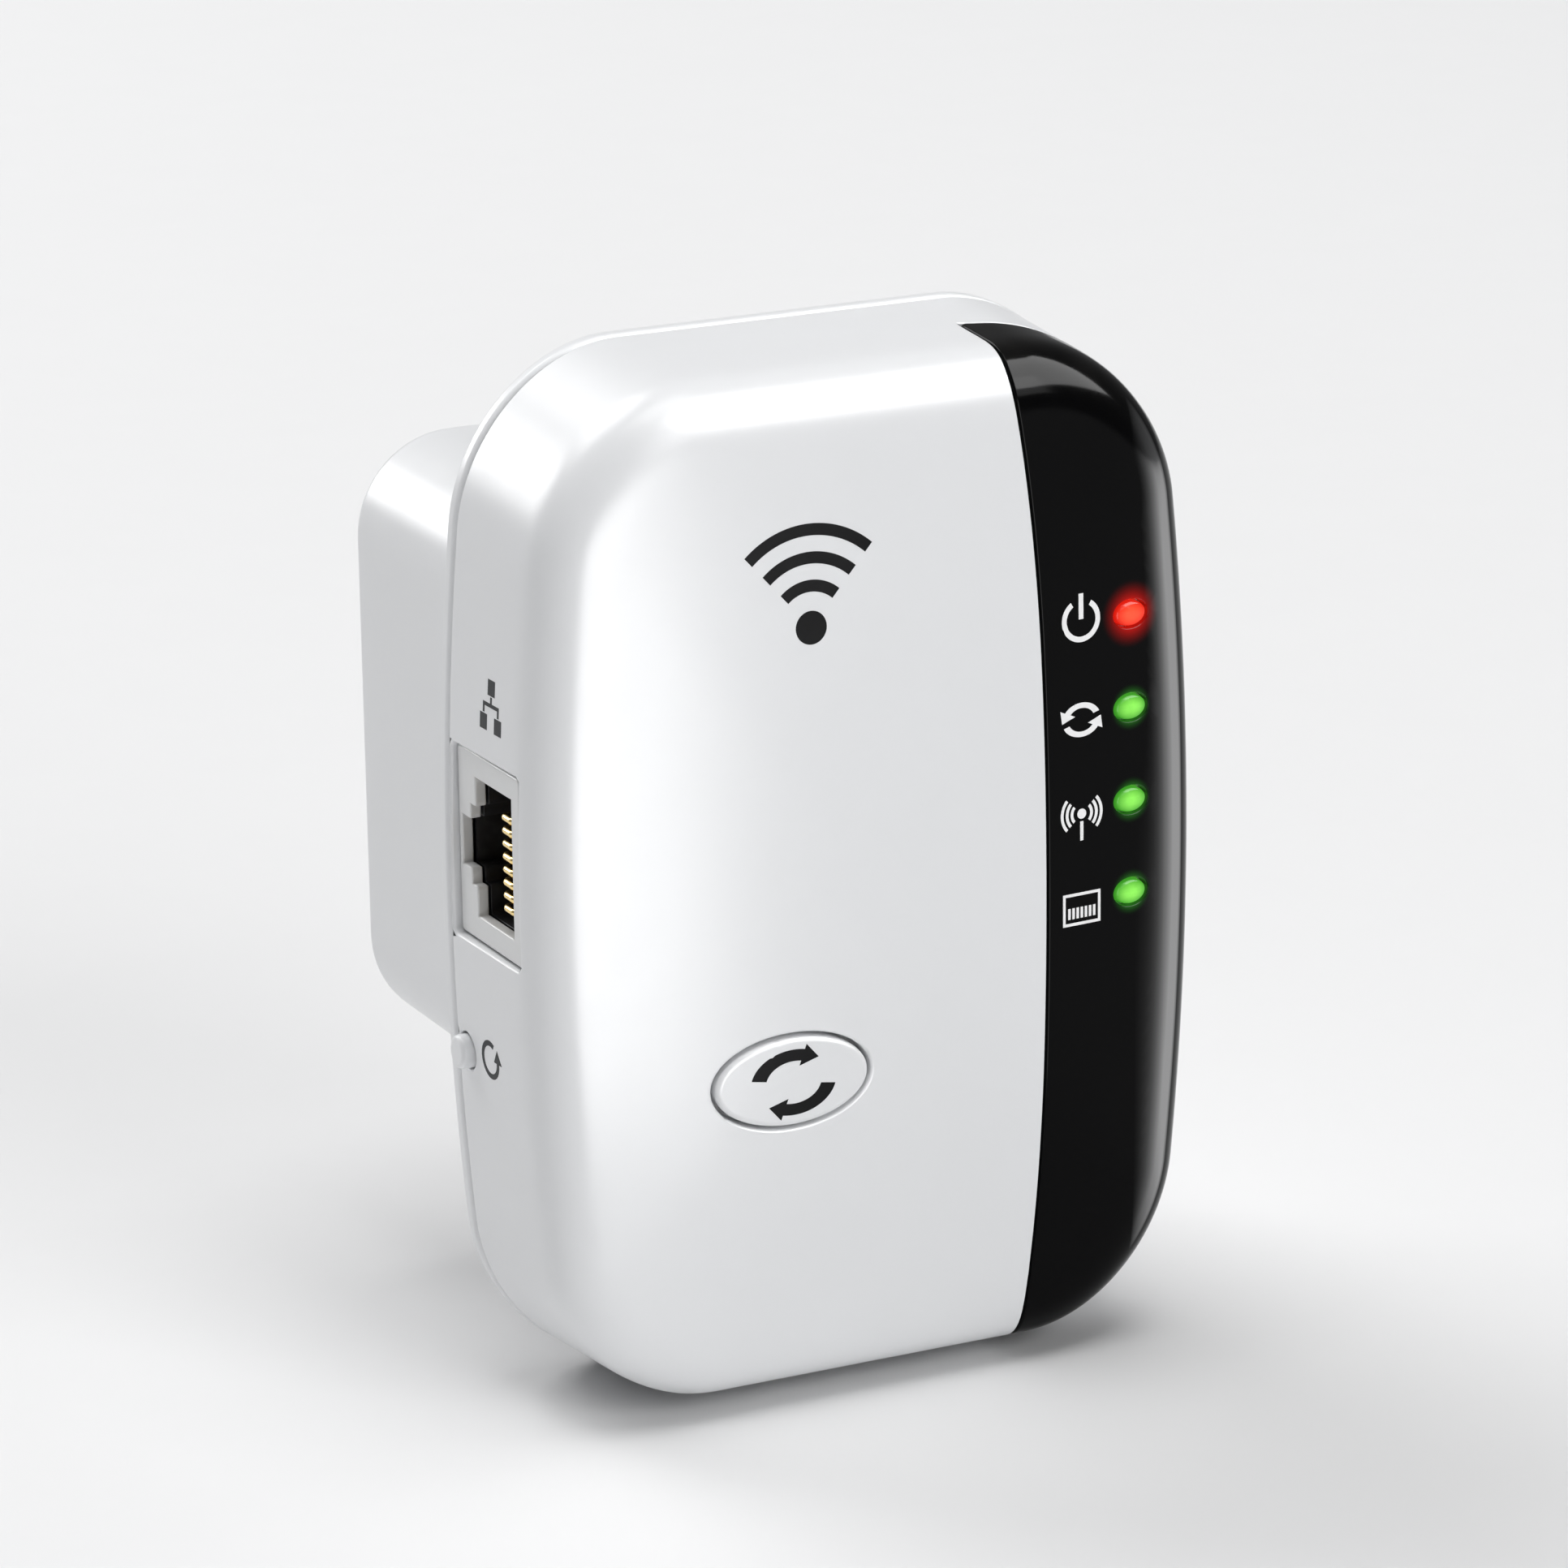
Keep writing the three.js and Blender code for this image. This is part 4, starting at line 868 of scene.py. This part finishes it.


# Gloss black; next to each light pipe an emission colour paints that pipe's light spilling onto the
# plastic.
def panelFinish():
    material, tree, shader = newMaterial("panelBlack")
    surface = placed(tree, moulded, panelPlastic["moulded"])
    dark, light = (scaled(color) for color in panelPlastic["colors"])
    base = mixed(tree, surface.outputs["Shade"], dark, light)
    mask = placed(tree, dust, {"Amount": panelPlastic["dust"]}).outputs["Mask"]
    tree.links.new(mixed(tree, mask, base, dustFilm["color"]), shader.inputs["Base Color"])
    tree.links.new(surface.outputs["Roughness"], shader.inputs["Roughness"])
    addBump(tree, shader, surface.outputs["Height"], panelPlastic["bump"])
    facing = tree.nodes.new("ShaderNodeLayerWeight")
    facing.inputs["Blend"].default_value = 0.5
    place = tree.nodes.new("ShaderNodeTexCoord").outputs["Object"]
    across = tree.nodes.new("ShaderNodeSeparateXYZ")
    tree.links.new(place, across.inputs[0])
    nearEdge = spread(tree, across.outputs["X"], *panelSheen["across"], 0.0, 1.0)
    turned = spread(tree, facing.outputs["Facing"], *panelSheen["facing"], 0.0, 1.0)
    fading = spread(tree, facing.outputs["Facing"], *panelSheen["fade"], 1.0, 0.0)
    sheen = spread(tree, product(tree, nearEdge, turned, fading), 0.0, 1.0, *panelSheen["level"])
    tree.links.new(sheen, shader.inputs["Specular IOR Level"])
    shader.inputs["IOR"].default_value = panelSheen["ior"]
    # Painted glow round each light pipe, summed and fed to the panel's emission.
    glow = paintedSpill(tree, place, *lensPlaces[0], redGlow)
    for x, z in lensPlaces[1:]:
        total = tree.nodes.new("ShaderNodeVectorMath")
        total.operation = "ADD"
        tree.links.new(glow, total.inputs[0])
        tree.links.new(paintedSpill(tree, place, x, z, greenGlow), total.inputs[1])
        glow = total.outputs["Vector"]
    tree.links.new(glow, shader.inputs["Emission Color"])
    shader.inputs["Emission Strength"].default_value = 1.0
    return material


panelBlack = panelFinish()
panelEdge = panelOutline(-panel["gap"] / 2)
piece(
    "statusPanelStrip",
    shell(onSkin(), [panelEdge], lensHoles, wall=panel["thickness"],
          lips=[panel["lip"]] + [lensSize["holeLip"]] * len(lensHoles),
          points=skinLattice([panelEdge], 1.5)),
    panelBlack, "housing", ["status_panel"])


# Domed oval pipe: raised by bulge * (1 - r squared) over the oval. Its glow also falls as r squared.
def lensShape(x, z):
    width, height = lensSize["width"], lensSize["height"]
    outline = oval(x, z, width, height, 48)
    front = onSkin(lensSize["proud"] - lensSize["bulge"])

    def chart(flat):
        points, normals = front(flat)
        r2 = ((flat[:, 0] - x) / (width / 2)) ** 2 + ((flat[:, 1] - z) / (height / 2)) ** 2
        return points + normals * (lensSize["bulge"] * np.clip(1 - r2, 0, 1))[:, None], normals

    verts, faces, _ = shell(chart, [outline], wall=lensSize["wall"], lip=lensSize["edge"],
                            spacing=0.3, lipSteps=3)
    r2 = ((verts[:, 0] - x) / width * 2) ** 2 + ((verts[:, 2] - z) / height * 2) ** 2
    middleGlow, fall = lensSize["glow"]
    return (verts, faces, None), np.clip(middleGlow - r2 * fall, 0, 1)


for number, (x, z) in enumerate(lensPlaces, 1):
    shape, glow = lensShape(x, z)
    red = number == 1
    lens = piece(f"statusLens{number}", shape, lensRed if red else lensGreen, "housing",
                 [f"led_lens_{number}"])
    layer = lens.data.attributes.new("glow", "FLOAT", "POINT")
    layer.data.foreach_set("value", glow.astype(np.float32))
print("status panel and lights done")


# Hollow cap that follows the front a little proud of it, flange behind the cover, and post.
def pairingShape():
    width = button["width"] - 2 * button["gap"]
    height = button["height"] - 2 * button["gap"]
    wider = 2 * button["flange"]
    inner = oval(buttonX, buttonZ, width - 2 * button["skirt"], height - 2 * button["skirt"], 64)
    cap = shell(onSkin(button["proud"]), [oval(buttonX, buttonZ, width, height, 96)],
                wall=button["cap"], lip=button["edge"], spacing=0.8, lipSteps=5)
    ring = oval(buttonX, buttonZ, width - 2 * button["slack"], height - 2 * button["slack"], 96)
    skirt = shell(onSkin(-button["edge"]), [ring], [inner], wall=cover["wall"], lip=0.05,
                  spacing=0.8, lipSteps=1)
    ring = oval(buttonX, buttonZ, button["width"] + wider, button["height"] + wider, 64)
    flange = shell(onSkin(-cover["wall"] - button["flangeGap"]), [ring], [inner],
                   wall=button["flangeWall"], lip=0.15, spacing=1.5)
    postEnd = boxOf("pairing_switch_plunger")[0][1] - button["postGap"]
    post = shell(onPlane((buttonX, postEnd, buttonZ), **facingWall),
                 [oval(0, 0, button["post"], button["post"], 32)], wall=button["cap"], lip=0.2,
                 spacing=0.6)
    return joined(cap, skirt, flange, post)


piece("pairingButtonCap", pairingShape(), shellWhite, "pairing_button", ["pairing_button"])


# Round pin on the left side: cap, flange inside the wall and stem.
def resetShape():
    def disc(x, width, height, depth, lip, corner=None):
        outline = (oval(-reset["y"], resetZ, width, height, 40) if corner is None
                   else roundedBox(-reset["y"], resetZ, width, height, corner, 0.5))
        return shell(onPlane((x, 0, 0), **facingLeft), [outline], wall=depth, lip=lip, spacing=0.5)
    flangeX = resetLow[0] + reset["flangeAt"]
    stemX = flangeX + reset["flangeWall"] - reset["overlap"]
    return joined(
        disc(resetLow[0], reset["diameter"], reset["diameter"], reset["cap"], reset["edge"]),
        disc(flangeX, *reset["flangeSize"], reset["flangeWall"], 0.15, reset["flangeCorner"]),
        disc(stemX, reset["stem"], reset["stem"], resetHigh[0] - stemX, 0.2))


piece("resetButtonPin", resetShape(), shellWhite, "reset_button", ["reset_button"])
print("buttons done")

jack = {
    "front": -42.2,
    "rear": -35.0,
    "half": 5.9,
    "steps": [(3.4, 1.1), (2.1, 1.8)],  # half height and rise of each step of the opening
    "face": 1.0,
    "lips": [0.22, 0.16],
    "corner": 0.3,
    "back": 1.15,
    "backGap": 0.01,
    "rearSpace": 1.2,
    "linerGap": 0.02,
}


# Stepped opening, as flat points with frontwards first.
def portOutline(grow=0.0):
    half = jack["half"] + grow
    side = [(jack["front"] - grow, half), (jack["rear"] + grow, half)]
    rise = jack["rear"] + grow
    for stepHalf, stepRise in jack["steps"]:
        side.append((rise, stepHalf + grow))
        rise += stepRise
        side.append((rise, stepHalf + grow))
    corners = [(-y, z) for y, z in side] + [(-y, -z) for y, z in side[::-1]]
    return sampled(corners, 0.5)


# Outline of a box on the facingLeft chart, where depth counts frontwards.
def leftBox(low, high, spacing):
    middle = (low + high) / 2
    return roundedBox(-middle[1], middle[2], *(high - low)[1:], jack["corner"], spacing)


# Thin face with sides that run back, and a liner closed by a back plate.
def jackShapes():
    face = shell(onPlane((jackLow[0], 0, 0), **facingLeft), [leftBox(jackLow, jackHigh, 0.5)],
                 [portOutline()], wall=jack["face"], lips=jack["lips"],
                 depths=[jackHigh[0] - jackLow[0], jack["face"]], spacing=1.2)
    low, high = boxOf("lan_jack_insert")
    outline = leftBox(low, high, 0.6)
    depth = high[0] - low[0] - jack["rearSpace"]
    liner = shell(onPlane((low[0], 0, 0), **facingLeft), [outline], [portOutline(jack["linerGap"])],
                  wall=depth, lip=0.06, spacing=1.2, lipSteps=2)
    back = shell(onPlane((low[0] + depth + jack["backGap"], 0, 0), **facingLeft), [outline],
                 wall=jack["back"], lip=0.05, lipSteps=1)
    return face, joined(liner, back)


jackFace, jackLiner = jackShapes()
piece("lanJackFrame", jackFace, jackGrey, "housing", ["lan_jack_body"])
piece("lanJackLiner", jackLiner, jackDark, "housing", ["lan_jack_insert"])

contact = {"radius": 0.3, "mouth": 0.42, "rise": 2.1, "run": 9.5, "clear": 0.1, "tail": 0.5}


# Spring wire: forward along the floor, up across the mouth, then sloping back inside.
def contactShape(z, rearX):
    floor = jack["front"] + contact["radius"] + contact["clear"]
    mouth = jackLow[0] + contact["mouth"]
    crown = floor + contact["rise"]
    path = [(rearX - contact["tail"], floor - 0.2, z), (mouth + 1.2, floor - 0.2, z),
            (mouth + 0.3, floor, z), (mouth, floor + 0.35, z), (mouth, crown - 0.4, z),
            (mouth + 0.16, crown - 0.12, z), (mouth + 0.5, crown, z),
            (mouth + contact["run"], crown + 0.25, z)]
    return wire(path, contact["radius"])


for number in range(1, 9):
    low, high = boxOf(f"lan_contact_{number}")
    piece(f"lanContactWire{number}", contactShape((low[2] + high[2]) / 2, high[0]), contactGold,
          "housing", [f"lan_contact_{number}"])
print("network jack done")

rear = {
    "wall": 1.6,
    "edge": 0.5,
    "lip": 0.14,
    "openingGap": 0.2,
    "openingLip": 0.2,
    "bore": 4.8,
    "vents": 7,
    "ventStart": 4.5,  # below the plug block
    "ventPitch": 3.6,
    "ventWidth": 1.4,
    "ventLength": 7.0,
}
block = {"width": 52.0, "height": 53.0, "edge": 1.5, "radius": 8.7, "faceWall": 2.6,
         "slotWidth": 1.9, "slotHeight": 6.75, "slotCorner": 0.3, "slotLip": 0.2}
blade = {"offset": 6.35, "half": 3.175, "thickness": 1.5, "length": 17.0, "chamfer": 1.4,
         "hole": 3.2, "holeFromTip": 5.0, "root": 8.0, "edge": 0.3}
screw = {"head": 4.4, "headEdge": 0.33, "shank": 2.2, "depth": 1.3, "recess": 0.7, "arm": 1.2,
         "slot": 0.32, "seat": 0.6, "overlap": 0.02}
screwPlaces = [middleOf(f"housing_screw_{number}") for number in (1, 2, 3, 4)]


# The body's outline at its back, with openings for the block, the screws and the vents.
def rearShape():
    turn = np.linspace(0, 4, 513)[:-1]
    halfX = body["halfWidth"] + body["growX"]
    halfZ = body["halfHeight"] + body["growZ"]
    x, z = roundedRing(turn, halfX, halfZ, body["cornerRadius"])
    x = x - body["sideBow"] * (x / halfX) * (z / halfZ) ** 2
    outline = evenly(np.stack([x, centreZ + z], -1), 0.8)
    gap = rear["openingGap"]
    opening = roundedBox(0, 0, block["width"] + 2 * gap, block["height"] + 2 * gap,
                         block["radius"] + gap, 0.8)
    bores = [oval(-x, z, rear["bore"], rear["bore"], 40) for x, z in screwPlaces]
    ventTop = -block["height"] / 2 - rear["ventStart"]
    vents = [
        roundedBox((index - (rear["vents"] - 1) / 2) * rear["ventPitch"],
                   ventTop - rear["ventLength"] / 2, rear["ventWidth"], rear["ventLength"],
                   rear["ventWidth"] / 2 - 0.01, 0.35)
        for index in range(rear["vents"])
    ]
    holes = [opening] + bores + vents
    lips = [rear["edge"], rear["openingLip"]] + [rear["lip"]] * (len(holes) - 1)
    return shell(onPlane((0, body["back"], 0), **facingWall), [outline], holes, wall=rear["wall"],
                 lips=lips, spacing=2.5, lipSteps=5)


# Wall face with two blade slots; its outer rim runs forward into the rear cover.
def blockShape():
    outline = roundedBox(0, 0, block["width"], block["height"], block["radius"], 0.8)
    slots = [
        roundedBox(side * blade["offset"], 0, block["slotWidth"], block["slotHeight"],
                   block["slotCorner"], 0.35)
        for side in (-1, 1)
    ]
    depth = rear["wall"] - body["back"]
    return shell(onPlane((0, 0, 0), **facingWall), [outline], slots, wall=block["faceWall"],
                 lips=[block["edge"], block["slotLip"], block["slotLip"]],
                 depths=[depth, block["faceWall"], block["faceWall"]], spacing=2.5, lipSteps=8)


piece("rearCoverShell", rearShape(), shellWhite, "housing", ["rear_cover"])
piece("plugBlockShell", blockShape(), shellWhite, "housing", ["plug_block"])


# Flat pin: chamfered outline with a hole, edges rounded on both faces.
def bladeShape(side):
    half, tip = blade["half"], blade["length"]
    corners = [(-tip, half - blade["chamfer"]), (blade["chamfer"] - tip, half),
               (blade["root"], half), (blade["root"], -half), (blade["chamfer"] - tip, -half),
               (-tip, blade["chamfer"] - half)]
    hole = oval(blade["holeFromTip"] - tip, 0, blade["hole"], blade["hole"], 48)
    x = side * blade["offset"] - blade["thickness"] / 2
    return shell(onPlane((x, 0, 0), **facingLeft), [sampled(corners, 0.8)], [hole],
                 wall=blade["thickness"], lip=blade["edge"], spacing=1.2, lipSteps=5)


for side, which in ((-1, "left"), (1, "right")):
    piece(f"blade{which.capitalize()}Pin", bladeShape(side), bladeNickel, "housing",
          [f"blade_{which}"])


# Pan head with a cross recess, the recess's floor, and a shank.
def screwShape(x, z, top, bottom):
    arm, slot, overlap = screw["arm"], screw["slot"], screw["overlap"]
    quarter = np.array([(arm, slot), (slot, slot), (slot, arm)])
    cross = np.concatenate([
        quarter, quarter[::-1] * (-1, 1), quarter * (-1, -1), quarter[::-1] * (1, -1),
    ])

    def disc(y, diameter, depth, lips, holes=()):
        return shell(onPlane((x, y, z), **facingWall), [oval(0, 0, diameter, diameter, 40)], holes,
                     wall=depth, lips=lips, spacing=0.5)
    head = disc(top, screw["head"], screw["recess"], [screw["headEdge"], 0.06],
                [sampled(cross, 0.2)])
    seat = disc(top - screw["recess"] + overlap, screw["head"], screw["seat"], [0.08])
    neck = top - screw["depth"]
    shank = disc(neck + overlap, screw["shank"], neck - bottom, [0.3])
    return joined(head, seat, shank)


for number, (x, z) in enumerate(screwPlaces, 1):
    low, high = boxOf(f"housing_screw_{number}")
    piece(f"housingScrewHead{number}", screwShape(x, z, high[1], low[1]), screwZinc, "housing",
          [f"housing_screw_{number}"])

label = {"corner": 0.9, "edge": 0.05}


# Blank plate with round corners, as large as its CAD node.
def labelShape():
    low, high = boxOf("back_label")
    middle, size = (low + high) / 2, high - low
    outline = roundedBox(-middle[0], middle[2], size[0], size[2], label["corner"], 0.5)
    return shell(onPlane((0, high[1], 0), **facingWall), [outline], wall=size[1],
                 lip=label["edge"], lipSteps=2)


piece("backLabelPlate", labelShape(), labelPaper, "housing", ["back_label"])
print("rear cover, block, blades and screws done")

ink = {"raised": 0.015, "wall": 0.04, "edge": 0.012}


# Mark as a thin skin of ink that stands a little out of its surface.
def printed(name, loops, holes, material, rides, chart=None, spacing=0.8):
    shape = shell(chart or onSkin(ink["raised"]), loops, holes, wall=ink["wall"], lip=ink["edge"],
                  lipSteps=1, spacing=spacing)
    piece(name, shape, material, rides)


tipShare = 0.97  # an arrow's tip lies a little inside the middle of its band


# Curved arrow: band of a ring that ends in a triangular head.
def arcArrow(u, v, inner, outer, start, end, head, flare, squeeze=1.0):
    band = arcBand(0, 0, inner, outer, start, end)
    angle = math.radians(end)
    radial = np.array([math.cos(angle), math.sin(angle)])
    ahead = np.array([-math.sin(angle), math.cos(angle)]) * (1 if end > start else -1)
    tip = radial * (inner + outer) / 2 * tipShare + ahead * head
    wide = [radial * (outer + flare), tip, radial * (inner - flare)]
    half = len(band) // 2
    loop = np.concatenate([band[:half], wide, band[half:]])
    return loop * (1, squeeze) + (u, v)


broadcast = {"x": -6.6, "z": 18.9, "size": 8.2, "dot": 0.34, "rings": (0.42, 0.7, 0.98),
             "stroke": 0.12, "opening": 42}


# Broadcast mark: a dot with three arcs above it.
def broadcastLoops():
    x, z, size, half = broadcast["x"], broadcast["z"], broadcast["size"], broadcast["stroke"] / 2
    loops = [oval(x, z, broadcast["dot"] * size, broadcast["dot"] * size, 40)]
    for ring in broadcast["rings"]:
        loops.append(arcBand(x, z, (ring - half) * size, (ring + half) * size,
                             90 - broadcast["opening"], 90 + broadcast["opening"], 32))
    return loops


printed("broadcastMark", broadcastLoops(), [], inkBlack, "housing")

arrows = {"inner": 2.5, "outer": 3.85, "angles": ((168, 75), (-12, -105)), "head": 1.5,
          "flare": 0.6, "squeeze": 0.74}
arrowLoops = [
    arcArrow(buttonX, buttonZ, arrows["inner"], arrows["outer"], start, end, arrows["head"],
             arrows["flare"], arrows["squeeze"])
    for start, end in arrows["angles"]
]
printed("pairingArrows", arrowLoops, [], inkBlack, "pairing_button",
        onSkin(button["proud"] + ink["raised"]))


# Rectangle about (u, v), from its half sizes.
def rectangle(u, v, halfWidth, halfHeight, spacing=0.15):
    corners = [(u - halfWidth, v - halfHeight), (u + halfWidth, v - halfHeight),
               (u + halfWidth, v + halfHeight), (u - halfWidth, v + halfHeight)]
    return sampled(corners, spacing)


# The marks beside the lights are drawn on a unit square, and give outlines and then holes.
# Power: an open ring with a bar in its gap.
def powerMark():
    ring = arcBand(0, 0, 0.36, 0.48, 122, 418, 40)
    return [ring, rectangle(0, 0.3, 0.06, 0.28)], []


# Sync: two arrows that chase each other round an oval.
def syncMark():
    return [arcArrow(0, v, 0.3, 0.45, start, start + 130, 0.3, 0.13, 0.75)
            for v, start in ((0.02, 20), (-0.02, 200))], []


# Mast: a post with a ball, and three arcs on each side of it.
def mastMark():
    loops = [oval(0, 0.08, 0.22, 0.22, 32), rectangle(0, -0.29, 0.04, 0.21)]
    for ring in (0.24, 0.36, 0.48):
        for side in (0, 180):
            loops.append(arcBand(0, 0.08, ring - 0.035, ring + 0.035, side - 42, side + 42, 24))
    return loops, []


# Socket: a frame with a row of pins.
def portMark():
    pins = [rectangle(u, -0.09, 0.035, 0.13, 0.1) for u in np.linspace(-0.33, 0.33, 7)]
    return [rectangle(0, 0, 0.5, 0.38)] + pins, [rectangle(0, 0, 0.43, 0.31)]


# Each mark: how it is drawn, its height and its size; they stand in one column.
markColumn = 18.2
marks = {
    "powerMark": (powerMark, 16.2, 3.9),
    "syncMark": (syncMark, 7.7, 4.1),
    "mastMark": (mastMark, -0.7, 4.0),
    "portMark": (portMark, -8.6, 3.7),
}
for name, (draw, z, size) in marks.items():
    loops, holes = ([loop * size + (markColumn, z) for loop in given] for given in draw())
    printed(name, loops, holes, inkWhite, "housing", spacing=0.7)


# Marks on the left side, drawn as depth and height.
def sideLoops(loops, y, z, size):
    return [onLeftSide(loop * (-size, size) + (y, z)) for loop in loops]


# Network: three linked boxes.
def networkMark():
    link = [(-0.36, -0.17), (-0.28, -0.17), (-0.28, -0.03), (-0.04, -0.03), (0.28, -0.03),
            (0.28, -0.17), (0.36, -0.17), (0.36, 0.05), (0.04, 0.05), (0.04, 0.18), (-0.04, 0.18),
            (-0.04, 0.05), (-0.36, 0.05)]
    boxes = [rectangle(u, v, 0.16, 0.16) for u, v in ((0, 0.36), (-0.32, -0.35), (0.32, -0.35))]
    return boxes + [sampled(link, 0.12)]


# Restart: an open ring that ends in an arrow.
def restartMark():
    return [arcArrow(0, 0, 0.3, 0.42, 60, 360, 0.3, 0.13)]


# Each side mark: how it is drawn, its depth, its height and its size.
sideMarks = {
    "networkMark": (networkMark, -38.9, 12.9, 4.2),
    "restartMark": (restartMark, -37.3, -17.6, 4.0),
}
for name, (draw, y, z, size) in sideMarks.items():
    printed(name, sideLoops(draw(), y, z, size), [], inkGrey, "housing")
print("printed marks done")

# Finishes of the CAD nodes that stay.
slotOf = {part["node"]: part["material_slot"] for part in frame["record"]["subparts"]}
for name, node in frame["nodes"].items():
    if slotOf[name] in innerMaterials and not node.hide_render:
        node.data.materials.clear()
        node.data.materials.append(innerMaterials[slotOf[name]])
print("inner finishes done")

studio = {
    "floorColor": (0.8, 0.8, 0.802),
    "floorReach": 2.0,
    "floorSteps": 25,
    "floorDrop": 0.0006,  # gap under the body, in metres
    "skyColor": (0.97, 0.98, 1.0, 1),
    "world": 0.19,  # brightness that lights the body
    "backdrop": 0.8,  # brightness that the camera sees
}
# Each light: place, point it faces, size across, size up, power, and whether it is a glossy card.
lights = {
    "overhead": ((0.1, -0.3, 2.4), (0.0, -0.03, 0.0), 1.5, 1.5, 31.0, False),
    "frontSoft": ((0.5, -1.6, 0.8), (0.0, -0.03, 0.0), 1.0, 1.0, 11.8, False),
    "farFloor": ((-0.6, 1.7, 1.8), (0.0, 1.3, 0.0), 1.6, 1.2, 34.0, False),
    "topCard": ((0.466, -0.45, 0.625), (0.0, -0.045, 0.03), 0.8, 0.75, 32.0, True),
    "frontCard": ((-0.02, -0.12, -0.01), (-0.02, -0.05, -0.01), 0.05, 0.09, 0.105, True),
    "cornerCard": ((-0.4, 0.82, 0.3), (0.0, -0.03, 0.03), 0.4, 0.3, 3.0, True),
}


# Flat square floor just under the body.
def makeFloor():
    reach = studio["floorReach"]
    share = np.linspace(-reach, reach, studio["floorSteps"])
    x, y = np.meshgrid(share, share)
    low = coverLow[2] * mm - studio["floorDrop"]
    verts = np.stack([x.ravel(), y.ravel(), np.full(x.size, low)], -1)
    index = np.arange(x.size).reshape(x.shape)
    faces = np.stack([index[:-1, :-1], index[:-1, 1:], index[1:, 1:], index[1:, :-1]], -1)
    mesh = bpy.data.meshes.new("floor")
    mesh.from_pydata(verts.tolist(), [], faces.reshape(-1, 4).tolist())
    mesh.materials.append(finish("floorPaper", studio["floorColor"], rough=(0.42, 0.5),
                                 grain=300.0, bump=0.01, shade=0.99, specular=0.0))
    floor = bpy.data.objects.new("floor", mesh)
    bpy.context.scene.collection.objects.link(floor)


# Rectangle of light turned to its target; a card shows only in reflections.
def makeLight(name, place, target, across, up, power, isCard):
    data = bpy.data.lights.new(name, "AREA")
    data.energy = power
    data.shape = "RECTANGLE"
    data.size = across
    data.size_y = up
    light = bpy.data.objects.new(name, data)
    light.location = place
    light.rotation_mode = "QUATERNION"
    light.rotation_quaternion = (Vector(target) - Vector(place)).to_track_quat("-Z", "Y")
    light.visible_camera = False
    light.visible_diffuse = not isCard
    bpy.context.scene.collection.objects.link(light)


makeFloor()
world = bpy.data.worlds.new("studioWorld")
world.use_nodes = True
sky = world.node_tree.nodes["Background"]
sky.inputs["Color"].default_value = studio["skyColor"]
ray = world.node_tree.nodes.new("ShaderNodeLightPath").outputs["Is Camera Ray"]
strength = spread(world.node_tree, ray, 0.0, 1.0, studio["world"], studio["backdrop"])
world.node_tree.links.new(strength, sky.inputs["Strength"])
bpy.context.scene.world = world
for name, values in lights.items():
    makeLight(name, *values)

view = {
    "place": (-0.23371, -0.51352, 0.16016),
    "azimuth": -25.8146,
    "elevation": 16.6321,
    "roll": -0.8146,
    "lens": 152.98,
    "sensor": 36.0,
    "clip": (0.01, 20),
}


# Camera turned by azimuth, elevation and roll about its own line of sight.
def makeCamera():
    azimuth, elevation, roll = (math.radians(view[k]) for k in ("azimuth", "elevation", "roll"))
    back = Vector((math.sin(azimuth) * math.cos(elevation),
                   -math.cos(azimuth) * math.cos(elevation), math.sin(elevation)))
    right = (-back).cross(Vector((0, 0, 1))).normalized()
    up = right.cross(-back)
    turnedRight = math.cos(roll) * right + math.sin(roll) * up
    turnedUp = -math.sin(roll) * right + math.cos(roll) * up
    data = bpy.data.cameras.new("studioCamera")
    data.lens = view["lens"]
    data.sensor_width = view["sensor"]
    data.clip_start, data.clip_end = view["clip"]
    camera = bpy.data.objects.new("studioCamera", data)
    turn = Matrix((turnedRight, turnedUp, back)).transposed().to_4x4()
    camera.matrix_world = Matrix.Translation(view["place"]) @ turn
    bpy.context.scene.collection.objects.link(camera)
    bpy.context.scene.camera = camera


makeCamera()
bpy.context.scene.view_settings.view_transform = "Standard"
print("studio done")
